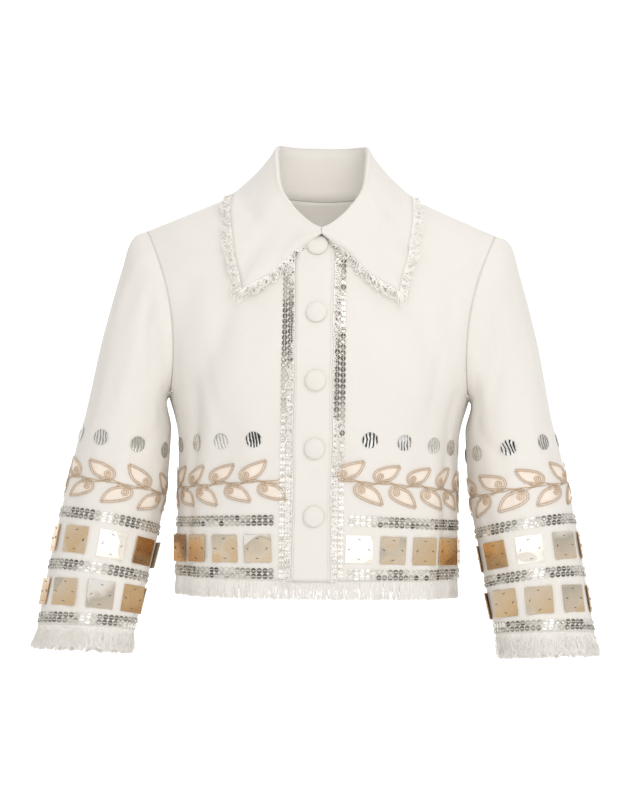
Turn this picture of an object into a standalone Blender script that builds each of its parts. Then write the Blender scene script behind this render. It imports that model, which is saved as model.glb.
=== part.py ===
"""Cropped jacket with raised square plates and frayed edges, in its worn form with no wearer.

Metres, +Z up, front towards -Y. The origin is the middle of the neck base, where a wearer's
shoulders carry the jacket. Left and right in the names are the wearer's: left is at +X.
Tables are in millimetres and are scaled by MM where they are read.
"""
import math
from collections import namedtuple

import bmesh
import bpy
import numpy as np
from mathutils import Vector
from mathutils.bvhtree import BVHTree

MM = 0.001
JACKET = "embellished_jacket"

# Cloth and clearances
CLOTH = 2.0 * MM
BAND_CLOTH = 1.5 * MM
SEAM_GAP = 0.3 * MM
HALF_GAP = SEAM_GAP / 2
ARMHOLE_GAP = 0.25 * MM

# Neck, shoulder and side seam
NECK_HALF_WIDTH = 70.0
NECK_POINT_Y = 4.0
NECK_POINT_Z = 6.0
FRONT_NECK_Y = -77.0
FRONT_NECK_Z = -50.0
BACK_NECK_Y = 52.0
BACK_NECK_Z = -8.0
SIDE_SEAM_Y = 8.0
HEM_Z = -422.5

# Square plates
PLATE = 29.5
PLATE_HEIGHT = 1.2 * MM
BODY_PITCH = 38.0
PLATE_ROW = 1
COLUMNS_PER_PLATE = 3
LEFT_FIRST_PLATE = 30.0
LEFT_PLATES = 5
RIGHT_FIRST_PLATE = 49.0
RIGHT_PLATES = 4
BACK_HALF_PLATES = 5
# Column of the back that meets the shoulder point, counted from centre back
NECK_COLUMN = 6

# Button band and buttons
BAND_RIGHT = 28.0
BAND_LEFT = 15.0
# Most of the way to the first plate's column that the band may take where the rows are short
BAND_MOST = 0.8
BUTTON_RADIUS = 11.25 * MM
BUTTON_HEIGHT = 5.0 * MM
BUTTON_X = -4.0 * MM
FIRST_BUTTON_Z = -63.0 * MM
BUTTON_STEP = 72.5 * MM
BUTTON_COUNT = 5
BUTTON_SIDES = 18
BUTTON_GAP = 0.4 * MM
MERGE = 0.0001
AHEAD_Y = -1.0
# Outline of a button from the top of its dome down: shares of its radius and of its height
BUTTON_OUTLINE = (
    (0.0, 1.0), (0.55, 0.93), (0.86, 0.74), (1.0, 0.45), (1.0, 0.22), (0.86, 0.0), (0.0, 0.0),
)

# Frayed edges: width of the strip that carries the locks, length of a lock, number of locks
STRIP = 2.5 * MM
LOCK_TIP = 0.55
LOCK_SWAY = 0.16
LOCK_SWAY_STEP = 1.7
LOCK_UNEVEN = 0.10
LOCK_UNEVEN_STEP = 2.4
MITRE_FLOOR = 0.5
HEM_LOCK = 19.0 * MM
HEM_LOCKS = 84
CUFF_LOCK = 24.0 * MM
CUFF_LOCKS = 32
COLLAR_LOCK = 8.5 * MM
COLLAR_LOCK_LIFT = 0.20
LOCK_CLEAR = 1.8 * MM
BAND_LOCK = 8.0 * MM
BAND_LOCKS = 14
BAND_LOCK_LIFT = 0.10
BAND_BARE_ROWS = 2

# Levels of the body from hem to underarm: heights at centre front, centre back and side seam
Level = namedtuple("Level", "name front_z back_z side_z side_x")
LEVELS = [
    Level("hem", HEM_Z, HEM_Z, HEM_Z, 155.5),
    Level("plate foot", -399.5, -403.5, -406.0, 155.2),
    Level("plate head", -370.0, -374.0, -376.5, 154.7),
    Level("vine", -313.0, -322.0, -329.0, 153.8),
    Level("discs", -268.0, -277.0, -282.0, 153.8),
    Level("side top", -239.0, -248.0, -256.0, 157.0),
    Level("underarm", -211.0, -220.0, -228.0, 165.0),
]
ARMHOLE_STEPS = 12
CENTRE_STEPS = 7

# Depth of the body at its two centre lines
Depth = namedtuple("Depth", "z y")
FRONT_DEPTH = [
    Depth(HEM_Z, -104.0), Depth(-370.0, -107.0), Depth(-313.0, -112.0), Depth(-268.0, -116.5),
    Depth(-211.0, -121.0), Depth(-184.0, -120.5), Depth(-132.0, -111.0), Depth(-80.0, -91.0),
    Depth(FRONT_NECK_Z, FRONT_NECK_Y),
]
BACK_DEPTH = [
    Depth(HEM_Z, 92.0), Depth(-370.0, 92.5), Depth(-322.0, 95.0), Depth(-277.0, 99.0),
    Depth(-220.0, 105.0), Depth(-165.0, 108.0), Depth(-120.0, 105.0), Depth(-80.0, 96.0),
    Depth(-45.0, 80.0), Depth(-20.0, 63.0), Depth(BACK_NECK_Z, BACK_NECK_Y),
]

# Armhole seam of the left side, from the shoulder tip down the front and up the back
Point = namedtuple("Point", "x y z")
SHOULDER_TIP = Point(192.0, 2.0, -46.0)
UNDERARM = Point(165.0, SIDE_SEAM_Y, -228.0)
ARMHOLE_FRONT = [
    SHOULDER_TIP, Point(187.5, -20.0, -54.0), Point(180.0, -39.0, -71.0), Point(170.0, -54.0, -99.0),
    Point(161.5, -61.0, -137.0), Point(158.5, -60.0, -178.0), Point(160.5, -42.0, -211.0),
    Point(164.0, -12.0, -226.0), UNDERARM,
]
ARMHOLE_BACK = [
    UNDERARM, Point(166.0, 30.0, -223.0), Point(167.0, 52.0, -204.0), Point(170.0, 64.0, -170.0),
    Point(175.0, 64.0, -130.0), Point(181.0, 52.0, -92.0), Point(187.5, 28.0, -61.0), SHOULDER_TIP,
]

# Shape of a body row: the share of a quarter turn that it makes, and how full its bow is
FULL_TURN = 1.0
BODY_FULL = 0.88
NECK_TURN = 0.50
CHEST_FULL = 0.96
ROW_SAMPLES = 120

# Fullness over the bust: how far it stands out, its height, and its middle as a share of the row
BUST_OUT = 6.0
BUST_Z = -205.0
BUST_SPREAD_Z = 55.0
BUST_MIDDLE = 0.42
BUST_SPREAD = 0.20

# Sleeve cap of the left side: top line and under line of each ring, and the armhole's share in it
Cap = namedtuple("Cap", "top_x top_z under_x under_z half_depth y armhole_share")
SLEEVE_CAP = [
    Cap(204.0, -50.5, 167.2, -231.5, 62.0, 3.0, 0.80),
    Cap(211.5, -62.0, 167.4, -236.5, 61.0, 2.0, 0.55),
    Cap(218.0, -86.0, 166.2, -242.0, 60.5, 1.0, 0.30),
    Cap(227.5, -120.0, 164.6, -247.5, 60.0, 0.0, 0.12),
    Cap(240.5, -172.0, 163.0, -253.5, 59.0, -1.0, 0.0),
]
# Sleeve below the underarm: middle of each ring, half sizes, and its tilts in degrees
Ring = namedtuple("Ring", "name x y z half_width half_depth side_tilt front_tilt")
SLEEVE_RINGS = [
    Ring("upper arm", 208.5, -1.5, -253.0, 47.5, 58.0, 11.0, 1.0),
    Ring("discs", 212.8, -3.0, -279.0, 50.5, 57.0, 10.2, 3.0),
    Ring("elbow", 216.5, -5.0, -303.0, 52.5, 56.0, 9.8, 4.0),
    Ring("vine", 220.5, -7.0, -326.0, 54.0, 55.0, 9.5, 5.0),
    Ring("forearm", 225.3, -9.5, -352.0, 54.2, 53.2, 9.5, 6.0),
    Ring("upper plate head", 230.5, -12.5, -377.7, 54.2, 52.0, 9.2, 7.0),
    Ring("upper plate foot", 236.3, -16.5, -407.3, 54.0, 50.6, 8.0, 7.5),
    Ring("lower plate head", 241.0, -19.7, -431.7, 53.8, 49.6, 6.3, 7.3),
    Ring("lower plate foot", 246.8, -24.0, -461.3, 53.6, 48.4, 3.6, 7.0),
    Ring("cuff", 250.5, -26.5, -481.0, 53.5, 47.8, 2.2, 7.0),
]
FIRST_CAP_DEPTH = 62.0
SLEEVE_COLUMNS = 2 * ARMHOLE_STEPS
SLEEVE_PLATES = 8
PLATED_RADIUS = 51.5
ELLIPSE_SAMPLES = 1441
SLEEVE_PLATE_RINGS = ("upper plate head", "lower plate head")
# Turn of the plates round each sleeve, in degrees towards the body from straight ahead
PLATE_TURN_LEFT = 3.5
PLATE_TURN_RIGHT = 12.5

# Main folds: ends of each fold as a distance across its piece and a height, and its half width.
# Across is measured from centre front, from centre back, or from a sleeve's outer line to its front.
Fold = namedtuple("Fold", "piece top_across top_z foot_across foot_z half_width out")
FOLDS = [
    Fold("front_right", 146.0, -205.0, 163.0, -430.0, 10.0, -3.2),
    Fold("front_right", 124.0, -230.0, 139.0, -430.0, 12.0, 1.8),
    Fold("front_right", 100.0, -120.0, 128.0, -200.0, 12.0, -2.0),
    Fold("front_left", 168.0, -215.0, 151.0, -430.0, 10.0, -3.4),
    Fold("front_left", 140.0, -235.0, 126.0, -430.0, 12.0, 1.6),
    Fold("front_left", 104.0, -110.0, 132.0, -190.0, 13.0, -2.0),
    Fold("back_panel", -84.0, -170.0, -112.0, -430.0, 13.0, -3.0),
    Fold("back_panel", -34.0, -240.0, -48.0, -430.0, 14.0, 2.0),
    Fold("back_panel", 62.0, -190.0, 92.0, -430.0, 14.0, -3.2),
    Fold("back_panel", 150.0, -120.0, 120.0, -230.0, 12.0, -2.2),
    Fold("back_panel", -150.0, -125.0, -126.0, -240.0, 12.0, -2.0),
    Fold("sleeve_left", 84.0, -110.0, 112.0, -235.0, 12.0, -2.6),
    Fold("sleeve_left", 68.0, -290.0, 118.0, -318.0, 10.0, -2.4),
    Fold("sleeve_left", 250.0, -270.0, 205.0, -320.0, 11.0, -2.4),
    Fold("sleeve_right", 88.0, -100.0, 110.0, -225.0, 12.0, -2.4),
    Fold("sleeve_right", 60.0, -300.0, 112.0, -322.0, 10.0, -2.6),
    Fold("sleeve_right", 246.0, -262.0, 200.0, -316.0, 11.0, -2.2),
]
FOLD_FADE = 28.0

# Collar of the left half, from centre back to centre front: the fold line and the outer edge
Station = namedtuple("Station", "name turn fold_x fold_y fold_z edge_x edge_y edge_z")
COLLAR = [
    Station("centre back", 0.0, 0.0, 46.0, 50.0, 0.0, 76.0, -22.0),
    Station("back", 0.22, 26.0, 42.0, 50.0, 44.0, 70.0, -19.0),
    Station("back side", 0.40, 43.0, 26.0, 49.0, 82.0, 44.0, -11.0),
    Station("side", 0.50, 49.5, 3.0, 42.0, 99.0, 6.0, -3.0),
    Station("front side", 0.60, 48.5, -22.0, 24.0, 100.0, -34.0, -30.0),
    Station("front", 0.74, 43.0, -43.0, 0.0, 95.0, -70.0, -75.0),
    Station("point", 0.86, 28.0, -61.0, -23.0, 86.5, -98.0, -116.0),
    Station("lower edge", 0.92, 18.0, -69.0, -33.0, 56.0, -95.0, -98.0),
    Station("inner edge", 0.96, 11.0, -74.0, -39.0, 30.0, -90.0, -70.0),
    Station("centre front", 0.985, 4.5, -78.0, -44.5, 13.0, -82.0, -53.0),
]
SIDE_TURN = 0.5
COLLAR_SPLIT = 3
COLLAR_FOLD_RADIUS = 3.2
COLLAR_FOLD_DEGREES = (0, 60, 120, 180)
FALL_SHARES = (0.25, 0.5, 0.75, 1.0)
FALL_BOW = 5.0
FALL_CLEAR = 2.2 * MM
CELL_CLEAR = 0.9
NECK_CLEAR = 0.6 * MM
FRINGED_STATIONS = 8

# Colours: red, green and blue, then roughness and metallic
Finish = namedtuple("Finish", "name colour roughness metallic")
IVORY = Finish("ivory_cloth", (0.86, 0.83, 0.78), 0.85, 0.0)
IVORY_BAND = Finish("ivory_band", (0.88, 0.85, 0.80), 0.80, 0.0)
COVERED = Finish("covered_button", (0.87, 0.84, 0.79), 0.75, 0.0)
FRAYED = Finish("frayed_thread", (0.90, 0.87, 0.82), 0.90, 0.0)


def clear_scene():
    """Empty the file of objects."""
    for item in list(bpy.data.objects):
        bpy.data.objects.remove(item, do_unlink=True)


def material(finish):
    """Principled material of one finish, made once."""
    found = bpy.data.materials.get(finish.name)
    if found:
        return found
    made = bpy.data.materials.new(finish.name)
    made.use_nodes = True
    shader = made.node_tree.nodes["Principled BSDF"]
    shader.inputs["Base Color"].default_value = (*finish.colour, 1.0)
    shader.inputs["Roughness"].default_value = finish.roughness
    shader.inputs["Metallic"].default_value = finish.metallic
    return made


def unit(vectors):
    """Vectors of length 1."""
    size = np.linalg.norm(vectors, axis=-1, keepdims=True)
    return vectors / np.maximum(size, 1e-12)


def smooth_profile(table, z):
    """Depth at height z, on a smooth curve through the table."""
    heights = np.array([row.z for row in table])
    depths = np.array([row.y for row in table])
    slopes = np.gradient(depths, heights)
    place = int(np.clip(np.searchsorted(heights, z) - 1, 0, len(heights) - 2))
    step = heights[place + 1] - heights[place]
    t = (z - heights[place]) / step
    start, end = depths[place], depths[place + 1]
    rise, fall = slopes[place] * step, slopes[place + 1] * step
    return (
        start * (2 * t**3 - 3 * t**2 + 1)
        + rise * (t**3 - 2 * t**2 + t)
        + end * (3 * t**2 - 2 * t**3)
        + fall * (t**3 - t**2)
    )


def smooth_line(points, samples_each=24):
    """Dense points on a Catmull-Rom curve through the given points."""
    points = np.array(points, float)
    before = 2 * points[0] - points[1]
    after = 2 * points[-1] - points[-2]
    padded = np.vstack([before, points, after])
    dense = []
    for place in range(1, len(padded) - 2):
        p0, p1, p2, p3 = padded[place - 1 : place + 3]
        for t in np.linspace(0, 1, samples_each, endpoint=False):
            dense.append(
                0.5 * (
                    2 * p1 + (p2 - p0) * t + (2 * p0 - 5 * p1 + 4 * p2 - p3) * t**2
                    + (3 * p1 - p0 - 3 * p2 + p3) * t**3
                )
            )
    dense.append(points[-1])
    return np.array(dense)


def arc_lengths(line):
    """Distance along a line of points from its start."""
    steps = np.linalg.norm(np.diff(line, axis=0), axis=1)
    return np.concatenate([[0.0], np.cumsum(steps)])


def points_at(line, distances):
    """Points at given distances along a line."""
    along = arc_lengths(line)
    return np.stack([np.interp(distances, along, line[:, axis]) for axis in range(3)], axis=1)


def evenly(line, steps):
    """Points that cut a line into equal steps."""
    return points_at(line, np.linspace(0, arc_lengths(line)[-1], steps + 1))


def mirrored(grid):
    """The same points on the other side of the body."""
    return grid * np.array([-1.0, 1.0, 1.0])


def grid_normals(grid, closed):
    """Unit normals of a grid of points, from its rows and columns."""
    if closed:
        across = np.roll(grid, -1, axis=1) - np.roll(grid, 1, axis=1)
    else:
        across = np.gradient(grid, axis=1)
    up = np.gradient(grid, axis=0)
    return unit(np.cross(across, up))


def body_row(inner, outer, turn, full):
    """Curve of one row of the body from a centre or neckline point to a side or armhole point."""
    angle = np.linspace(0, turn * math.pi / 2, ROW_SAMPLES)
    last = angle[-1]
    across = np.sin(angle) ** full / math.sin(last) ** full
    round_back = (1 - np.cos(angle) ** full) / (1 - max(math.cos(last), 0.0) ** full)
    middle = (across + round_back) / 2
    shares = np.stack([across, round_back, middle], axis=1)
    return inner + (outer - inner) * shares


def bust_out(z, share):
    """How far the front stands out over the bust at a height and a share of its row."""
    high = math.exp(-(((z - BUST_Z) / BUST_SPREAD_Z) ** 2))
    return BUST_OUT * high * np.exp(-(((share - BUST_MIDDLE) / BUST_SPREAD) ** 2))


def neckline(turn, centre_y, centre_z):
    """Point of the neckline, from its centre at turn 0 to the shoulder seam at turn 1."""
    angle = turn * math.pi / 2
    return np.array([
        NECK_HALF_WIDTH * math.sin(angle),
        NECK_POINT_Y + (centre_y - NECK_POINT_Y) * math.cos(angle),
        NECK_POINT_Z + (centre_z - NECK_POINT_Z) * math.cos(angle),
    ])


def armhole_halves():
    """Armhole seam points of the left side: front from tip to underarm, and back likewise."""
    front = evenly(smooth_line(ARMHOLE_FRONT), ARMHOLE_STEPS)
    back = evenly(smooth_line(ARMHOLE_BACK), ARMHOLE_STEPS)[::-1]
    return front, back


def outer_edge(armhole_half):
    """Outer ends of the rows: up the side seam, then up the armhole to the shoulder tip."""
    side = [(row.side_x, SIDE_SEAM_Y, row.side_z) for row in LEVELS[:-1]]
    return np.vstack([side, armhole_half[::-1]])


def fold_shift(piece, across, heights):
    """How far the main folds push each point of a piece out, in millimetres."""
    shift = np.zeros_like(across)
    for fold in FOLDS:
        if fold.piece != piece:
            continue
        along = (fold.top_z - heights) / (fold.top_z - fold.foot_z)
        middle = fold.top_across + (fold.foot_across - fold.top_across) * along
        length = fold.top_z - fold.foot_z
        near = np.exp(-(((across - middle) / fold.half_width) ** 2))
        start = np.clip(along * length / FOLD_FADE, 0, 1)
        end = np.clip((1 - along) * length / FOLD_FADE, 0, 1)
        shift += fold.out * near * np.sin(start * math.pi / 2) * np.sin(end * math.pi / 2)
    return shift


def front_rows():
    """Inner ends of the front's rows, up centre front and then along the neckline."""
    heights = [row.front_z for row in LEVELS]
    step = (FRONT_NECK_Z - heights[-1]) / CENTRE_STEPS
    heights += [heights[-1] + step * (count + 1) for count in range(CENTRE_STEPS)]
    rows = [np.array([0.0, smooth_profile(FRONT_DEPTH, z), z]) for z in heights]
    neck_steps = ARMHOLE_STEPS - CENTRE_STEPS
    for count in range(neck_steps):
        rows.append(neckline((count + 1) / neck_steps, FRONT_NECK_Y, FRONT_NECK_Z))
    return rows


def front_columns(band_edge, first_plate, plates):
    """Distances of the front's columns from centre front: band edge, then each plate."""
    columns = [0.0, band_edge]
    for count in range(plates):
        start = first_plate + count * BODY_PITCH
        columns += [start, start + PLATE / 2, start + PLATE]
    return columns


def front_grid(columns, armhole_front):
    """Outer points of one front as if on the left side, row by row from the hem."""
    outer_ends = outer_edge(armhole_front)
    inner_ends = front_rows()
    last = len(inner_ends) - 1
    grid = []
    across = []
    shares = None
    for place, (inner, outer) in enumerate(zip(inner_ends, outer_ends)):
        above = max(place - len(LEVELS) + 1, 0) / ARMHOLE_STEPS
        turn = FULL_TURN + (NECK_TURN - FULL_TURN) * above
        full = BODY_FULL + (CHEST_FULL - BODY_FULL) * above
        if place == last:
            line = np.linspace(inner, outer, ROW_SAMPLES)
        else:
            line = body_row(inner, outer, turn, full)
            share = np.linspace(0, 1, ROW_SAMPLES)
            line[:, 1] -= bust_out(inner[2], share)
        length = arc_lengths(line)[-1]
        if shares is None:
            shares = np.array(columns + [length]) / length
        distances = shares * length
        distances[1] = min(columns[1], BAND_MOST * distances[2])
        grid.append(points_at(line, distances))
        across.append(distances)
    return np.array(grid), np.array(across)


def back_columns():
    """Distances of the back's columns from centre back on one side."""
    half_space = (BODY_PITCH - PLATE) / 2
    columns = []
    for count in range(BACK_HALF_PLATES):
        start = half_space + count * BODY_PITCH
        columns += [start, start + PLATE / 2, start + PLATE]
    return columns


def back_top_row(shares, tip):
    """Top of the back on one side: along the neckline, then along the shoulder seam."""
    corner = shares[NECK_COLUMN]
    points = []
    for share in shares:
        if share <= corner:
            points.append(neckline(share / corner, BACK_NECK_Y, BACK_NECK_Z))
        else:
            neck = neckline(1.0, BACK_NECK_Y, BACK_NECK_Z)
            points.append(neck + (tip - neck) * (share - corner) / (1 - corner))
    return np.array(points)


def back_grid(armhole_back):
    """Outer points of the back, from the right side seam to the left, row by row from the hem."""
    outer_ends = outer_edge(armhole_back)
    heights = [row.back_z for row in LEVELS]
    step = (BACK_NECK_Z - heights[-1]) / ARMHOLE_STEPS
    heights += [heights[-1] + step * (count + 1) for count in range(ARMHOLE_STEPS)]
    columns = back_columns()
    rows = []
    across = []
    shares = None
    for place, (z, outer) in enumerate(zip(heights, outer_ends)):
        inner = np.array([0.0, smooth_profile(BACK_DEPTH, z), z])
        above = max(place - len(LEVELS) + 1, 0) / ARMHOLE_STEPS
        turn = FULL_TURN + (NECK_TURN - FULL_TURN) * above
        full = BODY_FULL + (CHEST_FULL - BODY_FULL) * above
        line = body_row(inner, outer, turn, full)
        length = arc_lengths(line)[-1]
        if shares is None:
            shares = np.array(columns + [length]) / length
        half = points_at(line, shares * length)
        if place == len(heights) - 1:
            half = back_top_row(shares, outer)
        rows.append(np.vstack([mirrored(half)[::-1], half]))
        distance = shares * length
        across.append(np.concatenate([-distance[::-1], distance]))
    return np.array(rows), np.array(across)


def loop_out(loop):
    """Unit vectors in the YZ plane that point out of a closed armhole loop."""
    step = np.roll(loop, -1, axis=0) - np.roll(loop, 1, axis=0)
    out = np.stack([np.zeros(len(loop)), -step[:, 2], step[:, 1]], axis=1)
    centre = loop.mean(axis=0)
    toward = np.sum(out * (loop - centre), axis=1)
    out *= np.sign(toward.mean())
    out[0] = (0, 0, 1)
    out[ARMHOLE_STEPS] = (0, 0, -1)
    return unit(out)


def column_angles(turn_degrees):
    """Share of the way round a sleeve of each column, from the outer line towards the front."""
    plate_share = PLATE / (2 * math.pi * PLATED_RADIUS)
    shares = []
    for column in range(SLEEVE_COLUMNS):
        plate, place = divmod(column + 1, COLUMNS_PER_PLATE)
        middle = plate / SLEEVE_PLATES
        shares.append(middle + (place - 1) * plate_share / 2 + turn_degrees / 360)
    return np.array(shares)


def ellipse_ring(centre, side, front, shares):
    """Points at given shares of the way round an ellipse, from its outer side to its front."""
    angle = np.linspace(0, 4 * math.pi, ELLIPSE_SAMPLES)
    line = centre + np.outer(np.cos(angle), side) + np.outer(np.sin(angle), front)
    along = arc_lengths(line)
    round_once = along[-1] / 2
    distances = (shares % 1.0) * round_once
    return np.stack([np.interp(distances, along, line[:, axis]) for axis in range(3)], axis=1)


def sleeve_grid(loop, turn_degrees):
    """Outer points of a sleeve as if on the left side, ring by ring from the armhole down."""
    even = np.arange(SLEEVE_COLUMNS) / SLEEVE_COLUMNS
    plated = column_angles(turn_degrees)
    rings = [loop]
    top, under = loop[0], loop[ARMHOLE_STEPS]
    first_front = np.array([0, -FIRST_CAP_DEPTH, 0])
    first = ellipse_ring((top + under) / 2, (top - under) / 2, first_front, even)
    kept = loop - first
    total = len(SLEEVE_CAP) + 2
    for count, cap in enumerate(SLEEVE_CAP):
        high = np.array([cap.top_x, cap.y, cap.top_z])
        low = np.array([cap.under_x, cap.y, cap.under_z])
        share = even + (plated - even) * (count + 1) / total
        front = np.array([0, -cap.half_depth, 0])
        ring = ellipse_ring((high + low) / 2, (high - low) / 2, front, share)
        rings.append(ring + kept * cap.armhole_share)
    for count, row in enumerate(SLEEVE_RINGS):
        tilt, lean = math.radians(row.side_tilt), math.radians(row.front_tilt)
        side = row.half_width * np.array([math.cos(tilt), 0, math.sin(tilt)])
        front = row.half_depth * np.array([0, -math.cos(lean), math.sin(lean)])
        share = plated if count else even + (plated - even) * (total - 1) / total
        rings.append(ellipse_ring(np.array([row.x, row.y, row.z]), side, front, share))
    grid = np.array(rings)
    girths = [arc_lengths(np.vstack([ring, ring[:1]]))[-1] for ring in grid]
    return grid, plated[None, :] * np.array(girths)[:, None]


def flattened(normals, axis):
    """Normals with one axis taken out, so that two walls meet in a plane across that axis."""
    kept = normals.copy()
    kept[..., axis] = 0
    return unit(kept)


class Shell:
    """A wall of cloth: its outer points, its inner points and how its columns close."""

    def __init__(self, outer, inner, closed):
        self.outer = outer
        self.inner = inner
        self.closed = closed

    def cells(self):
        rows, columns = self.outer.shape[:2]
        span = columns if self.closed else columns - 1
        for row in range(rows - 1):
            for column in range(span):
                yield row, column, row + 1, (column + 1) % columns


def new_object(name, mesh_builder, finish, collection, smooth_angle=35.0):
    """Closed mesh object from a finished bmesh, shaded smooth but for its sharp edges."""
    bmesh.ops.recalc_face_normals(mesh_builder, faces=mesh_builder.faces)
    mesh = bpy.data.meshes.new(name)
    mesh_builder.to_mesh(mesh)
    mesh_builder.free()
    mesh.materials.append(material(finish))
    mesh.shade_smooth()
    mesh.set_sharp_from_angle(angle=math.radians(smooth_angle))
    made = bpy.data.objects.new(name, mesh)
    collection.objects.link(made)
    return made


def shell_mesh(shell):
    """Closed bmesh of a wall, and its outer faces by cell."""
    bm = bmesh.new()
    rows, columns = shell.outer.shape[:2]
    outer = [[bm.verts.new(shell.outer[r, c]) for c in range(columns)] for r in range(rows)]
    inner = [[bm.verts.new(shell.inner[r, c]) for c in range(columns)] for r in range(rows)]
    faces = {}
    for r, c, r2, c2 in shell.cells():
        faces[r, c] = bm.faces.new((outer[r][c], outer[r][c2], outer[r2][c2], outer[r2][c]))
        bm.faces.new((inner[r][c], inner[r2][c], inner[r2][c2], inner[r][c2]))
    span = columns if shell.closed else columns - 1
    for r in (0, rows - 1):
        for c in range(span):
            c2 = (c + 1) % columns
            bm.faces.new((outer[r][c], inner[r][c], inner[r][c2], outer[r][c2]))
    if not shell.closed:
        for c in (0, columns - 1):
            for r in range(rows - 1):
                bm.faces.new((outer[r][c], outer[r + 1][c], inner[r + 1][c], inner[r][c]))
    bmesh.ops.recalc_face_normals(bm, faces=bm.faces)
    return bm, faces


def raise_plate(bm, cells):
    """Raise the cells under one plate to a flat face that stands clear of the cloth."""
    centre = sum((face.calc_center_median() for face in cells), Vector()) / len(cells)
    normal = sum((face.normal for face in cells), Vector()).normalized()
    highest = max((vert.co - centre).dot(normal) for face in cells for vert in face.verts)
    grown = bmesh.ops.extrude_face_region(bm, geom=cells)
    for item in grown["geom"]:
        if isinstance(item, bmesh.types.BMVert):
            rise = highest + PLATE_HEIGHT - (item.co - centre).dot(normal)
            item.co += normal * rise
    bmesh.ops.delete(bm, geom=cells, context="FACES")


def polygons(grid):
    """Corner points and faces of an open grid, for finding the nearest cloth."""
    rows, columns = grid.shape[:2]
    corners = [Vector(point) for point in grid.reshape(-1, 3)]
    faces = []
    for row in range(rows - 1):
        for column in range(columns - 1):
            low = row * columns + column
            high = low + columns
            faces.append((low, low + 1, high + 1, high))
    return corners, faces


def nearest_cloth(grids):
    """Search tree over several grids whose faces point out of the body."""
    corners, faces = [], []
    for grid in grids:
        more_corners, more_faces = polygons(grid)
        start = len(corners)
        corners += more_corners
        faces += [tuple(start + index for index in face) for face in more_faces]
    return BVHTree.FromPolygons(corners, faces)


def rest_on(points, tree, clearance):
    """Points pushed out where they would come nearer to the cloth than the clearance."""
    flat = points.reshape(-1, 3).copy()
    for place, point in enumerate(flat):
        spot, normal, _, _ = tree.find_nearest(Vector(point))
        height = (Vector(point) - spot).dot(normal)
        if height < clearance:
            flat[place] = np.array(spot + normal * clearance)
    return flat.reshape(points.shape)


def rest_cells_on(grid, tree, clearance, rounds=5):
    """A grid pushed out until the middles of its cells and edges clear the cloth too."""
    samples = ((0.5, 0.5), (0.5, 0.0), (0.5, 1.0), (0.0, 0.5), (1.0, 0.5))
    grid = rest_on(grid, tree, clearance)
    for _ in range(rounds):
        lift = np.zeros_like(grid)
        for row in range(grid.shape[0] - 1):
            for column in range(grid.shape[1] - 1):
                corners = grid[row : row + 2, column : column + 2]
                for u, v in samples:
                    point = (corners[0] * (1 - u) + corners[1] * u)
                    point = Vector(point[0] * (1 - v) + point[1] * v)
                    spot, normal, _, _ = tree.find_nearest(point)
                    lack = clearance * CELL_CLEAR - (point - spot).dot(normal)
                    if lack > 0:
                        push = np.array(normal) * lack
                        block = lift[row : row + 2, column : column + 2]
                        larger = np.linalg.norm(block, axis=-1, keepdims=True) < lack
                        lift[row : row + 2, column : column + 2] = np.where(larger, push, block)
        grid = grid + lift
    return grid


def body_shells():
    """The two fronts and the back as walls, and the armhole loop of the left side."""
    armhole_front, armhole_back = armhole_halves()
    loop = np.vstack([armhole_front, armhole_back[1:-1][::-1]])
    outward = loop_out(loop)
    front_out = outward[: ARMHOLE_STEPS + 1][::-1]
    back_out = np.vstack([outward[ARMHOLE_STEPS:], outward[:1]])
    shells = {}
    centre_rows = len(LEVELS) + CENTRE_STEPS
    for piece, band_edge, first_plate, plates in (
        ("front_left", BAND_LEFT, LEFT_FIRST_PLATE, LEFT_PLATES),
        ("front_right", BAND_RIGHT, RIGHT_FIRST_PLATE, RIGHT_PLATES),
    ):
        columns = front_columns(band_edge, first_plate, plates)
        grid, across = front_grid(columns, armhole_front)
        grid = grid * MM
        normals = grid_normals(grid, False)
        normals[:centre_rows, 0] = flattened(normals[:centre_rows, 0], 0)
        normals[: len(LEVELS), -1] = flattened(normals[: len(LEVELS), -1], 1)
        normals[-1] = flattened(normals[-1], 1)
        shift = fold_shift(piece, across, grid[..., 2] / MM)
        shift[:, 0] = 0
        shift[:, -1] = 0
        shift[-1] = 0
        grid = grid + normals * shift[..., None] * MM
        normals[len(LEVELS) - 1 :, -1] = front_out
        grid[:centre_rows, 0, 0] = HALF_GAP
        grid[: len(LEVELS), -1, 1] -= HALF_GAP
        grid[-1, :, 1] -= HALF_GAP
        grid[len(LEVELS) - 1 :, -1, 0] -= ARMHOLE_GAP
        inner = grid - normals * CLOTH
        if piece == "front_right":
            grid, inner = mirrored(grid)[:, ::-1], mirrored(inner)[:, ::-1]
        shells[piece] = Shell(grid, inner, False)
    grid, across = back_grid(armhole_back)
    grid = grid * MM
    normals = -grid_normals(grid, False)
    side_rows = slice(0, len(LEVELS))
    for edge in (0, -1):
        normals[side_rows, edge] = flattened(normals[side_rows, edge], 1)
    half = grid.shape[1] // 2
    seam = list(range(0, half - NECK_COLUMN)) + list(range(half + NECK_COLUMN, 2 * half))
    normals[-1, seam] = flattened(normals[-1, seam], 1)
    shift = fold_shift("back_panel", across, grid[..., 2] / MM)
    shift[:, [0, -1]] = 0
    shift[-1] = 0
    grid = grid + normals * shift[..., None] * MM
    normals[len(LEVELS) - 1 :, -1] = back_out
    normals[len(LEVELS) - 1 :, 0] = mirrored(back_out)
    for edge, sign in ((0, 1), (-1, -1)):
        grid[side_rows, edge, 1] += HALF_GAP
        grid[len(LEVELS) - 1 :, edge, 0] += sign * ARMHOLE_GAP
    grid[-1, seam, 1] += HALF_GAP
    shells["back_panel"] = Shell(grid, grid - normals * CLOTH, False)
    return shells, loop, outward


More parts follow.
